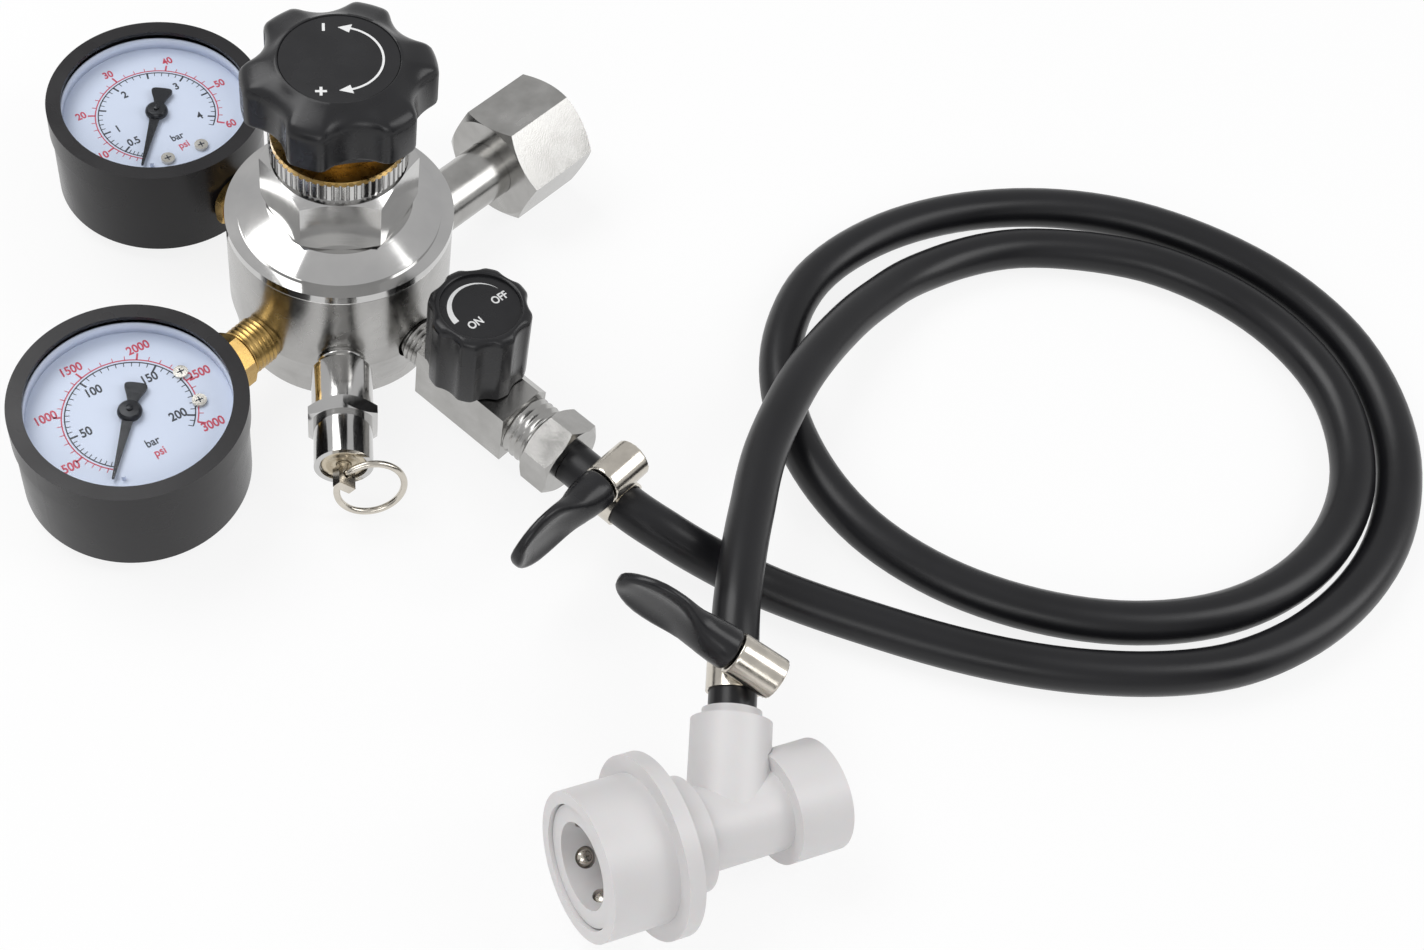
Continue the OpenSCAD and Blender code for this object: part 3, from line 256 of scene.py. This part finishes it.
# Ports about the body: their height, and the angle of each
port_height = 16.5
inlet_gauge_angle, outlet_gauge_angle, relief_angle, valve_angle = 225, 135, 270, 313


def along_port(angle, reach):
    """The level place at a reach from the body's axis along a port."""
    return reach * math.cos(math.radians(angle)), reach * math.sin(math.radians(angle))


inlet_centre = along_port(inlet_gauge_angle, 75)
outlet_centre = along_port(outlet_gauge_angle, 70.7)
valve_axis = along_port(valve_angle, 50.3)
gauges = (("inlet", inlet_centre), ("outlet", outlet_centre))


# Frames of the places that pieces are drawn in, all in millimetres
def frame_at(origin, right, up, out):
    """A matrix whose columns are right, up and out, in millimetres."""
    return Matrix((
        (right[0], up[0], out[0], origin[0]), (right[1], up[1], out[1], origin[1]),
        (right[2], up[2], out[2], origin[2]), (0, 0, 0, 1)))


def port_frame(angle):
    """Out along a port: the first axis is down, the second goes round the body."""
    c, s = math.cos(math.radians(angle)), math.sin(math.radians(angle))
    return frame_at((0, 0, port_height), (0, 0, -1), (-s, c, 0), (c, s, 0))


def flat_frame(x, y, z, turn=0):
    """A level place, turned about the vertical."""
    c, s = math.cos(math.radians(turn)), math.sin(math.radians(turn))
    return frame_at((x, y, z), (c, s, 0), (-s, c, 0), (0, 0, 1))


def piece(name, points, faces, where, finish, body, smooth=True):
    """A mesh drawn in millimetres in a frame, placed in metres, that rides on a body."""
    mesh = bpy.data.meshes.new(name)
    mesh.from_pydata([tuple((where @ Vector(p)) * MM) for p in points], [], faces)
    tidy = bmesh.new()
    tidy.from_mesh(mesh)
    bmesh.ops.recalc_face_normals(tidy, faces=tidy.faces)
    tidy.to_mesh(mesh)
    tidy.free()
    made = bpy.data.objects.new(name, mesh)
    scene.collection.objects.link(made)
    mesh.materials.append(finish)
    for face in mesh.polygons:
        face.use_smooth = smooth
    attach(made, body)
    return made


def turned(profile, steps=72):
    """Points and faces of a closed profile of (radius, height) turned about the third axis."""
    points, faces, count = [], [], len(profile)
    for i in range(steps):
        a = 2 * math.pi * i / steps
        points += [(r * math.cos(a), r * math.sin(a), h) for r, h in profile]
    for i in range(steps):
        for k in range(count):
            a, b = i * count + k, i * count + (k + 1) % count
            c, d = ((i + 1) % steps) * count + (k + 1) % count, ((i + 1) % steps) * count + k
            faces.append((a, d, c, b))
    return points, faces


def crisp(made, angle):
    """Shade the piece as sharp where its faces meet at more than the angle."""
    split = made.modifiers.new("crisp_edges", "EDGE_SPLIT")
    split.split_angle = math.radians(angle)


def thread(name, angle, root_r, crest_r, start, end, pitch, finish, body):
    """Screw thread ridges round a plain stretch of a port's stem."""
    turns = max(2, int((end - start) / pitch))
    step = (end - start) / turns
    profile = [(root_r, start)]
    for i in range(turns):
        profile += [(crest_r - 0.05, start + (i + 0.42) * step),
                    (crest_r - 0.05, start + (i + 0.58) * step),
                    (root_r + 0.05, start + (i + 1) * step)]
    profile[-1] = (root_r, end)
    profile += [(root_r - 0.4, end), (root_r - 0.4, start)]
    points, faces = turned(profile)
    return piece(name, points, faces, port_frame(angle), finish, body)


# Clamp keys: a round hub that flattens into an oval thumb paddle with a rim and a dished face
def key_frame(origin, along, across):
    """The place of a clamp key: across the paddle, through it, and out along its screw."""
    out, right = Vector(along).normalized(), Vector(across).normalized()
    return frame_at(origin, right, out.cross(right), out)


# Levels of a paddle: place along the screw, half width, half thickness and depth of the dish
paddle = [
    (5.7, 4.4, 4.4, 0), (6.0, 4.9, 4.9, 0), (6.7, 5.15, 5.15, 0), (9.5, 5.2, 5.1, 0),
    (12.5, 5.2, 4.8, 0), (15, 5.5, 4.1, 0), (17.3, 6.3, 3.4, 0.05), (19.5, 7.5, 2.8, 0.25),
    (21.5, 8.5, 2.4, 0.5), (23.5, 9.15, 2.15, 0.62), (26, 9.4, 2.0, 0.66), (28.5, 9.2, 1.95, 0.66),
    (31, 8.3, 1.9, 0.64), (33, 7.0, 1.85, 0.5), (34.6, 5.5, 1.8, 0.2), (35.8, 3.9, 1.7, 0),
    (36.6, 2.4, 1.5, 0), (37.0, 1.0, 1.1, 0)]
for number, origin, along, across in (
        (1, (67.313, -72.185, 26.2), (-0.73135, -0.682, 0), (0.00482, -0.00517, -0.99997)),
        (2, (92.218, -131.468, 34.882), (-0.83316, 0.42587, 0.35281), (-0.2704, 0.24282, -0.93163))):
    around, points = 64, []
    for t, wide, thick, dish in paddle:
        for i in range(around):
            a = 2 * math.pi * (i + 0.5) / around
            x, lift = wide * math.cos(a), math.sin(a)
            flat = 1 if thick > 4.5 else 0.72
            y = thick * math.copysign(abs(lift) ** flat, lift)
            points.append((x, y * (1 - dish * max(0.0, 1 - (x / (0.76 * wide)) ** 4)), t))
    faces = [(k * around + i, k * around + (i + 1) % around, (k + 1) * around + (i + 1) % around,
              (k + 1) * around + i) for k in range(len(paddle) - 1) for i in range(around)]
    faces += [tuple(range(around)), tuple(range((len(paddle) - 1) * around, len(paddle) * around))]
    screw, rings = turned([(0.01, -6.7), (1.7, -6.7), (2.0, -6.4), (2.0, 5.9), (0.01, 5.9)], 32)
    faces += [tuple(len(points) + k for k in f) for f in rings]
    points += screw
    made = piece("clamp_paddle_%d" % number, points, faces, key_frame(origin, along, across), black_nylon,
                 "clamp_key_%d" % number)
    crisp(made, 50)
    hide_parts("clamp_key_%d" % number)

# The hose: it leaves the valve, goes twice round on the table and rises to the disconnect
route = [
    (58.7, -62.9, 16.5), (70.9, -76.1, 16.5), (79.5, -82.5, 15), (91, -88.2, 10.8),
    (107.5, -95.3, 6.4), (131.5, -105.5, 5.7), (159, -115.2, 5.7), (188.5, -120.5, 5.7),
    (219.5, -119.2, 5.7), (247.4, -107.2, 5.7), (270.5, -85.3, 5.7), (283.5, -55, 5.7),
    (281.8, -20.8, 5.7), (263.4, 7.6, 5.7), (231.6, 27.2, 5.7), (196.2, 32.6, 5.7),
    (161, 25.3, 5.7), (133, 6.2, 5.7), (119.8, -22, 5.7), (121, -50.5, 5.7),
    (134, -77, 5.7), (158, -96, 5.7), (190, -105.8, 5.7), (222.2, -104, 5.7),
    (249.4, -90.2, 5.7), (267.6, -66, 5.7), (271.4, -35, 5.7), (258, -7.5, 5.7),
    (231.2, 11.5, 5.7), (195, 17.1, 5.7), (167.4, 9.3, 6.1), (150.3, -2.7, 9),
    (135.4, -18.1, 13.5), (120, -39, 18.5), (107.5, -62.5, 21.7), (101, -81, 24.6),
    (96, -97, 27.3), (92, -112.5, 28.6), (90.3, -124.2, 27), (88.4, -137.7, 23.9)]
hose_d = 11.4


def halfway(points):
    """The same path with a point on the smooth curve between each two."""
    longer = []
    for i in range(len(points) - 1):
        before, after = points[max(i - 1, 0)], points[min(i + 2, len(points) - 1)]
        middle = [(9 * (points[i][k] + points[i + 1][k]) - before[k] - after[k]) / 16 for k in range(3)]
        longer += [points[i], tuple(middle)]
    return longer + [points[-1]]


hose_exit = (57.83, -62.02, 16.5)
hose_path = [hose_exit] + halfway(halfway(halfway(route)))
line = bpy.data.curves.new("hose_line", "CURVE")
line.dimensions = "3D"
spline = line.splines.new("POLY")
spline.points.add(len(hose_path) - 1)
for spot, point in zip(spline.points, hose_path):
    spot.co = (point[0] * MM, point[1] * MM, point[2] * MM, 1)
line.bevel_depth = hose_d / 2 * MM
line.bevel_resolution = 8
line.use_fill_caps = True
line.materials.append(hose_cover)
hose = bpy.data.objects.new("hose_tube", line)
scene.collection.objects.link(hose)
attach(hose, "regulator")
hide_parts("hose")

# Threads that show on the stems
thread("valve_outlet_thread", valve_angle, 7.95, 8.45, 68.3, 75.6, 1.5, satin_nickel, "regulator")
thread("valve_inlet_thread", valve_angle, 5.6, 6.15, 29.9, 37.2, 1.3, satin_nickel, "regulator")
thread("relief_valve_thread", relief_angle, 6.2, 6.65, 29.8, 32.8, 1.0, chrome, "regulator")
thread("inlet_gauge_thread", inlet_gauge_angle, 6.2, 6.75, 29.9, 37.8, 1.3, brass, "regulator")
thread("outlet_gauge_thread", outlet_gauge_angle, 6.2, 6.75, 29.9, 37.8, 1.3, brass, "regulator")


# Printing on the dials and knobs: thin raised ink
ink_t = 0.06


def bar_print(points, faces, where_angle, r0, r1, width):
    """A radial tick from r0 to r1 at an angle about the dial's centre."""
    c, s = math.cos(math.radians(where_angle)), math.sin(math.radians(where_angle))
    start = len(points)
    for r, w in ((r0, -1), (r0, 1), (r1, 1), (r1, -1)):
        points.append((r * c - w * width / 2 * s, r * s + w * width / 2 * c, 0))
    for p in points[start:start + 4]:
        points.append((p[0], p[1], ink_t))
    faces += [tuple(start + k for k in f) for f in
              ((0, 1, 2, 3), (4, 7, 6, 5), (0, 4, 5, 1), (1, 5, 6, 2), (2, 6, 7, 3), (3, 7, 4, 0))]


def arc_print(points, faces, a0, a1, r0, r1, steps=90, taper=False):
    """A band from angle a0 to a1, between two radii; with taper it starts as a point."""
    start = len(points)
    for i in range(steps + 1):
        a = math.radians(a0 + (a1 - a0) * i / steps)
        middle, half = (r0 + r1) / 2, (r1 - r0) / 2 * (i / steps if taper else 1) + 0.01
        for r, z in ((middle - half, 0), (middle + half, 0), (middle + half, ink_t),
                     (middle - half, ink_t)):
            points.append((r * math.cos(a), r * math.sin(a), z))
    for i in range(steps):
        for k in range(4):
            a, b = start + i * 4 + k, start + i * 4 + (k + 1) % 4
            faces.append((a, b, b + 4, a + 4))
    faces += [(start + 3, start + 2, start + 1, start), tuple(start + steps * 4 + k for k in range(4))]


def words(name, text, size, where, finish, body, bold=0.0, narrow=0.82):
    """Plain characters as a mesh, centred in a frame in millimetres."""
    font = bpy.data.curves.new(name, "FONT")
    font.body = text
    font.size = size
    font.align_x, font.align_y = "CENTER", "CENTER"
    font.extrude = ink_t / 2
    font.offset = bold
    shown = bpy.data.objects.new(name + "_line", font)
    scene.collection.objects.link(shown)
    mesh = bpy.data.meshes.new_from_object(shown)
    bpy.data.objects.remove(shown)
    mesh.materials.clear()
    mesh.materials.append(finish)
    for v in mesh.vertices:
        v.co = (where @ Vector((v.co.x * narrow, v.co.y, v.co.z + ink_t / 2))) * MM
    made = bpy.data.objects.new(name, mesh)
    scene.collection.objects.link(made)
    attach(made, body)
    return made


def between(value, marks):
    """The dial angle of a value, from the marks on either side of it."""
    for (v0, a0), (v1, a1) in zip(marks, marks[1:]):
        if v0 <= value <= v1:
            return a0 + (a1 - a0) * (value - v0) / (v1 - v0)
    return marks[-1][1]


def scale_print(name, centre, marks, step, major, labels, ring, outward, finish, size):
    """One scale of a dial: its arc, its ticks and its numbers."""
    x, y = centre
    where = flat_frame(x, y, dial_top)
    points, faces = [], []
    arc_print(points, faces, marks[0][1], marks[-1][1], ring - 0.15, ring + 0.15)
    sign = 1 if outward else -1
    count = int(round((marks[-1][0] - marks[0][0]) / step))
    for i in range(count + 1):
        value = marks[0][0] + i * step
        heavy = abs(value / major - round(value / major)) < 1e-6 and value > 0
        r1 = ring + sign * (2.1 if heavy else 1.25)
        bar_print(points, faces, between(value, marks), min(ring, r1), max(ring, r1),
                  0.5 if heavy else 0.2)
    piece(name + "_ticks", points, faces, where, finish, "regulator", False)
    reach = ring + sign * (3.9 if outward else 4.3)
    for text, value in labels:
        a = math.radians(between(value, marks))
        at = flat_frame(x + reach * math.cos(a), y + reach * math.sin(a), dial_top, dial_up - 90)
        words(name + "_" + text.replace(".", "_"), text, size, at, finish, "regulator",
              0.09)


dial_top = 27.0
dial_up = 118
# Angle of zero on both dials, where the pointers rest
zero_mark = 261
scale_print("inlet_bar", inlet_centre, [(0, zero_mark), (50, 207), (100, 143), (150, 69),
            (200, -2), (210, -14)], 5, 50,
            [("50", 50), ("100", 100), ("150", 150), ("200", 200)], 16.2, False, black_ink, 3.7)
scale_print("inlet_psi", inlet_centre, [(0, zero_mark), (500, 229), (1000, 183), (1500, 138), (2000, 87),
            (2500, 37), (3000, -9)], 100, 500,
            [("500", 500), ("1000", 1000), ("1500", 1500), ("2000", 2000), ("2500", 2500), ("3000", 3000)],
            17.0, True, red_ink, 3.7)
scale_print("outlet_bar", outlet_centre, [(0, zero_mark), (0.5, 240), (1, 208), (1.5, 175),
            (2, 141), (2.5, 102), (3, 65), (3.5, 31), (4, -3), (4.2, -15)], 0.1, 0.5,
            [("0.5", 0.5), ("1", 1), ("2", 2), ("3", 3), ("4", 4)], 16.2, False, black_ink, 3.6)
scale_print("outlet_psi", outlet_centre, [(0, zero_mark), (10, 228), (20, 182), (30, 133),
            (40, 84), (50, 35), (60, -10)], 2, 10,
            [("10", 10), ("20", 20), ("30", 30), ("40", 40), ("50", 50), ("60", 60)], 17.0, True, red_ink, 3.5)
for gauge, (x, y) in gauges:
    for text, reach, finish in (("bar", 10.4, black_ink), ("psi", 13.9, red_ink)):
        a = math.radians(304)
        words(gauge + "_" + text, text, 3.4, flat_frame(x + reach * math.cos(a), y + reach * math.sin(a),
              dial_top, dial_up - 90), finish, "regulator", 0.05)

def bar_at(points, faces, cx, cy, turn, low, high, width):
    """A printed bar about a place, from low to high along its turn."""
    start = len(points)
    bar_print(points, faces, turn, low, high, width)
    for k in range(start, len(points)):
        px, py, pz = points[k]
        points[k] = (px + cx, py + cy, pz)


# Painted shade: dark ink bars on the dial screws' heads stand for the shade inside their cross recesses
points, faces = [], []
for (x, y), side in ((inlet_centre, inlet_gauge_angle), (outlet_centre, outlet_gauge_angle)):
    for turn in (1, -33):
        a = math.radians(side + 180 + turn)
        cx, cy = x + 17.5 * math.cos(a), y + 17.5 * math.sin(a)
        for arm in (25, 115):
            bar_at(points, faces, cx, cy, arm, -0.95, 0.95, 0.36)
piece("dial_screw_slot_shade", points, faces, flat_frame(0, 0, 27.9), black_ink, "regulator", False)

# Printing on the pressure knob: an arc with an arrow at each end, minus and plus
knob_face = flat_frame(0, 0, 96.43)
points, faces = [], []
arc_print(points, faces, -74, 74, 10.3, 10.85, 60)
for a, turn in ((74, 1), (-74, -1)):
    c, s = math.cos(math.radians(a)), math.sin(math.radians(a))
    tip = math.radians(a + turn * 17)
    start = len(points)
    for r in (9.1, 12.0):
        points.append((r * c, r * s, 0))
    points.append((10.55 * math.cos(tip), 10.55 * math.sin(tip), 0))
    points += [(p[0], p[1], ink_t) for p in points[start:start + 3]]
    faces += [(start, start + 1, start + 2), (start + 5, start + 4, start + 3),
              (start, start + 3, start + 4, start + 1), (start + 1, start + 4, start + 5, start + 2),
              (start + 2, start + 5, start + 3, start)]
minus_sign, plus_sign = [(90, -1.3, 1.3)], [(0, -1.4, 1.4), (90, -1.4, -0.36), (90, 0.36, 1.4)]
for cx, cy, arms in ((-3.6, 10.6, minus_sign), (-4.4, -10.8, plus_sign)):
    for arm, low, high in arms:
        bar_at(points, faces, cx, cy, arm, low, high, 0.7)
piece("pressure_knob_print", points, faces, knob_face, white_ink, "pressure_knob_unit", False)

# Printing on the valve knob: a tapered arc with OFF and ON at its ends
knob_top = 47.83
points, faces = [], []
arc_print(points, faces, 52, 218, 6.9, 8.5, 60, True)
piece("valve_knob_arc", points, faces, flat_frame(valve_axis[0], valve_axis[1], knob_top), white_ink,
      "valve_spindle", False)
words("valve_knob_off", "OFF", 3.2, flat_frame(valve_axis[0] + 5.0, valve_axis[1] + 3.0, knob_top, 35),
      white_ink, "valve_spindle", 0.08)
words("valve_knob_on", "ON", 3.2, flat_frame(valve_axis[0] - 1.4, valve_axis[1] - 5.0, knob_top, 35),
      white_ink, "valve_spindle", 0.08)


# Knobs with scalloped grips
def finger_hollow(turned_by, lobes, half_width, cutter):
    """Share of the full depth of a round-bottomed finger hollow at an angle about a knob's axis."""
    pitch = 2 * math.pi / lobes
    off = (turned_by + pitch / 2) % pitch - pitch / 2
    depth = 0.0
    for nudge in (-2.4, -1.2, 0, 1.2, 2.4):
        x = (off + math.radians(nudge)) / math.radians(half_width)
        if abs(x) < 1:
            depth += (math.sqrt(cutter ** 2 - x * x) - math.sqrt(cutter ** 2 - 1)) / (
                cutter - math.sqrt(cutter ** 2 - 1))
    return depth / 5


def scalloped(name, centre, levels, lobes, turn, half_width, finish, body, node, steps=360):
    """A knob of levels (lobe radius, valley radius, height), closed at both ends; stands for a node."""
    points, faces = [], []
    for lobe_r, valley_r, z in levels:
        for i in range(steps):
            a = 2 * math.pi * i / steps
            hollow = finger_hollow(a - math.radians(turn) - math.pi / lobes, lobes, half_width, 1.25)
            r = lobe_r - (lobe_r - valley_r) * hollow
            points.append((r * math.cos(a), r * math.sin(a), z))
    for k in range(len(levels) - 1):
        for i in range(steps):
            a, b = k * steps + i, k * steps + (i + 1) % steps
            faces.append((a, b, b + steps, a + steps))
    faces.append(tuple(range(steps)))
    faces.append(tuple(range((len(levels) - 1) * steps, len(levels) * steps)))
    made = piece(name, points, faces, flat_frame(centre[0], centre[1], 0), finish, body)
    crisp(made, 40)
    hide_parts(node)


knob_levels = [
    (0.3, 0.3, 94.1), (12.45, 12.45, 94.1), (12.45, 12.45, 77.0), (16.9, 15.4, 77.0), (17.4, 15.9, 77.3),
    (17.6, 16.0, 78), (17.6, 16.0, 81.4), (17.9, 16.1, 81.9), (23.4, 19.2, 82.0), (23.9, 19.6, 82.4),
    (24.0, 19.7, 83), (24.0, 19.7, 91.2), (23.9, 19.6, 92.1), (23.5, 19.3, 93.0), (22.8, 18.8, 93.8),
    (21.8, 18.1, 94.4), (20.4, 17.4, 94.9), (18.6, 16.6, 95.4), (16.9, 16.0, 95.9), (15.6, 15.4, 96.4),
    (14.95, 14.95, 96.7), (14.75, 14.75, 96.65), (14.6, 14.6, 96.4), (14.6, 14.6, 95.8), (0.3, 0.3, 95.8)]
scalloped("pressure_knob_grip", (0, 0), knob_levels, 6, 9, 19, black_nylon, "pressure_knob_unit",
          "pressure_knob")
valve_levels = [
    (0.3, 0.3, 37.3), (2.55, 2.55, 37.3), (2.55, 2.55, 28.6), (4.5, 4.5, 28.6), (4.5, 4.5, 37.0),
    (10.7, 10.7, 37.0), (10.7, 10.7, 25.3), (12.6, 11.6, 25.3), (13.1, 11.95, 25.6), (13.2, 12.0, 26.2),
    (13.2, 12.0, 46.6), (13.05, 11.95, 47.4), (12.6, 11.75, 48.1), (11.9, 11.4, 48.6), (11.2, 11.0, 48.8),
    (10.6, 10.6, 48.75), (10.3, 10.3, 48.5), (10.2, 10.2, 47.8), (0.3, 0.3, 47.8)]
scalloped("valve_knob_grip", valve_axis, valve_levels, 8, 29, 14, black_nylon, "valve_spindle",
          "valve_knob")

# Gauge pointers: a tapered blade, a broad tail and a domed boss
blade = [(20.4, 0.28), (14, 0.62), (8, 1.0), (3.4, 1.35), (-3.2, 1.3), (-5, 1.9), (-6.8, 2.7), (-7.8, 2.95),
         (-8.5, 2.7), (-8.8, 2.0), (-8.9, 0.9)]
for gauge, (x, y) in gauges:
    outline = blade + [(a, -b) for a, b in reversed(blade)]
    count = len(outline)
    points = [(a, b, z) for z in (27.9, 28.5) for a, b in outline]
    faces = [tuple(range(count)), tuple(range(2 * count - 1, count - 1, -1))]
    faces += [(k, (k + 1) % count, count + (k + 1) % count, count + k) for k in range(count)]
    boss, rings = turned([(0.01, 27.85), (3.1, 27.85), (3.2, 28.3), (3.0, 29.0), (2.5, 29.5), (0.9, 29.62),
                          (0.85, 30.0), (0.6, 30.15), (0.01, 30.15)], 48)
    faces += [tuple(len(points) + k for k in f) for f in rings]
    points += boss
    hand = piece(gauge + "_pointer_blade", points, faces, flat_frame(x, y, 0, zero_mark), black_nylon,
                 gauge + "_gauge_pointer")
    crisp(hand, 35)
    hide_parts(gauge + "_gauge_pointer")

# A pale ring stands between each dial and its lens
for gauge, (x, y) in gauges:
    points, faces = turned([(25.95, 27.05), (26.35, 27.05), (26.35, 30.7), (25.95, 30.7)], 120)
    piece(gauge + "_dial_ring", points, faces, flat_frame(x, y, 0), dial_enamel, "regulator")

# The relief valve's end plug, set inside the cap's rim
points, faces = turned([(1.95, 61.5), (5.85, 61.5), (5.85, 61.9), (5.4, 62.15), (4.2, 62.2), (3.9, 61.95),
                        (2.3, 61.95), (1.95, 62.1)], 72)
pale_brass, tree, shader = finish_of("tumbled_pale_brass", Metallic=1.0)
place = patches(tree, shader, "#b9ad97", "#d8cfbd", 2, 4, 0.24, 0.4)
grain(tree, shader, place, 0.5, 0.01)
piece("relief_end_plug", points, faces, port_frame(relief_angle), pale_brass, "regulator")

# Table and light
def seen_ray(tree, mirrored_share):
    """One for a ray from the camera or through glass, and the share given for a mirrored ray."""
    ray = add(tree, "ShaderNodeLightPath")
    mirrored = add(tree, "ShaderNodeMath", {0: ray.outputs["Is Glossy Ray"], 1: mirrored_share},
                   operation="MULTIPLY")
    seen = add(tree, "ShaderNodeMath", {0: ray.outputs["Is Camera Ray"], 1: mirrored.outputs[0]},
               operation="MAXIMUM")
    return add(tree, "ShaderNodeMath", {0: seen.outputs[0], 1: ray.outputs["Is Transmission Ray"]},
               operation="MAXIMUM")


table_half = 4
floor_mesh = bpy.data.meshes.new("table_top")
floor_mesh.from_pydata([(-table_half, -table_half, 0), (table_half, -table_half, 0),
                       (table_half, table_half, 0), (-table_half, table_half, 0)], [], [(0, 1, 2, 3)])
table_top = bpy.data.objects.new("table_top", floor_mesh)
scene.collection.objects.link(table_top)
table_top.location.z = min(0.0, cad_box[0][2]) - 0.0002
white_table, tree, shader = finish_of("white_table", Roughness=0.9, Specular_IOR_Level=0.1)
shader.inputs["Base Color"].default_value = linear("#f4f4f4")
glow = add(tree, "ShaderNodeEmission", {"Color": (1, 1, 1, 1), "Strength": 1.0})
seen = seen_ray(tree, 1.0)
# The table turns plain white with its distance from the object
place = add(tree, "ShaderNodeTexCoord")
away = add(tree, "ShaderNodeVectorMath", {0: place.outputs["Object"]}, operation="LENGTH")
whiten = add(tree, "ShaderNodeMapRange", {"Value": away.outputs["Value"], "From Min": 0.45,
             "From Max": 1.1, "To Min": 0.86, "To Max": 1.0})
share = add(tree, "ShaderNodeMath", {0: seen.outputs[0], 1: whiten.outputs[0]}, operation="MULTIPLY")
table_mix = add(tree, "ShaderNodeMixShader", {0: share.outputs[0], 1: shader.outputs[0],
                2: glow.outputs[0]})
table_surface = next(n for n in tree.nodes if n.type == "OUTPUT_MATERIAL").inputs["Surface"]
tree.links.new(table_mix.outputs[0], table_surface)
floor_mesh.materials.append(white_table)

# A soft even sky lights the object; the camera sees it as plain white
world = bpy.data.worlds.new("studio")
world.use_nodes = True
tree = world.node_tree
soft_sky = tree.nodes["Background"]
soft_sky.inputs["Color"].default_value = (0.93, 0.93, 0.94, 1)
soft_sky.inputs["Strength"].default_value = 0.42
white_sky = add(tree, "ShaderNodeBackground", {"Color": (1, 1, 1, 1), "Strength": 1.0})
seen = seen_ray(tree, 0.4)
sky_mix = add(tree, "ShaderNodeMixShader", {0: seen.outputs[0], 1: soft_sky.outputs[0],
              2: white_sky.outputs[0]})
tree.links.new(sky_mix.outputs[0], tree.nodes["World Output"].inputs["Surface"])
scene.world = world


def softbox(name, at, aim, width, height, power):
    """A rectangular studio lamp that points at a place."""
    lamp = bpy.data.lights.new(name, "AREA")
    lamp.shape = "RECTANGLE"
    lamp.size, lamp.size_y, lamp.energy = width, height, power
    made = bpy.data.objects.new(name, lamp)
    scene.collection.objects.link(made)
    made.location = at
    made.rotation_euler = (Vector(aim) - Vector(at)).to_track_quat("-Z", "Y").to_euler()


def dark_card(name, x0, x1, y, z1):
    """A dark card that only reflections see, as a black board beside a studio table."""
    mesh = bpy.data.meshes.new(name)
    mesh.from_pydata([(x0, y, 0.02), (x1, y, 0.02), (x1, y, z1), (x0, y, z1)], [], [(0, 1, 2, 3)])
    made = bpy.data.objects.new(name, mesh)
    scene.collection.objects.link(made)
    mesh.materials.append(card_black)
    made.visible_camera = made.visible_diffuse = made.visible_shadow = False


card_black, tree, shader = finish_of("black_card", Roughness=0.9)
shader.inputs["Base Color"].default_value = linear("#141414")
dark_card("left_card", -0.62, -0.3, -0.75, 0.6)
dark_card("middle_card", 0.02, 0.12, -0.9, 0.5)
dark_card("right_card", 0.5, 0.75, -0.5, 0.6)
lamp_aim = (0.08, -0.05, 0)
softbox("key_lamp", (-0.5, 0.35, 1.0), lamp_aim, 0.9, 0.7, 8)
softbox("side_lamp", (1.0, -0.2, 0.8), lamp_aim, 0.5, 0.9, 4.4)
softbox("front_lamp", (-0.2, -1.0, 0.6), (0.05, -0.05, 0), 0.9, 0.4, 2.7)

scene.view_settings.view_transform = "Standard"
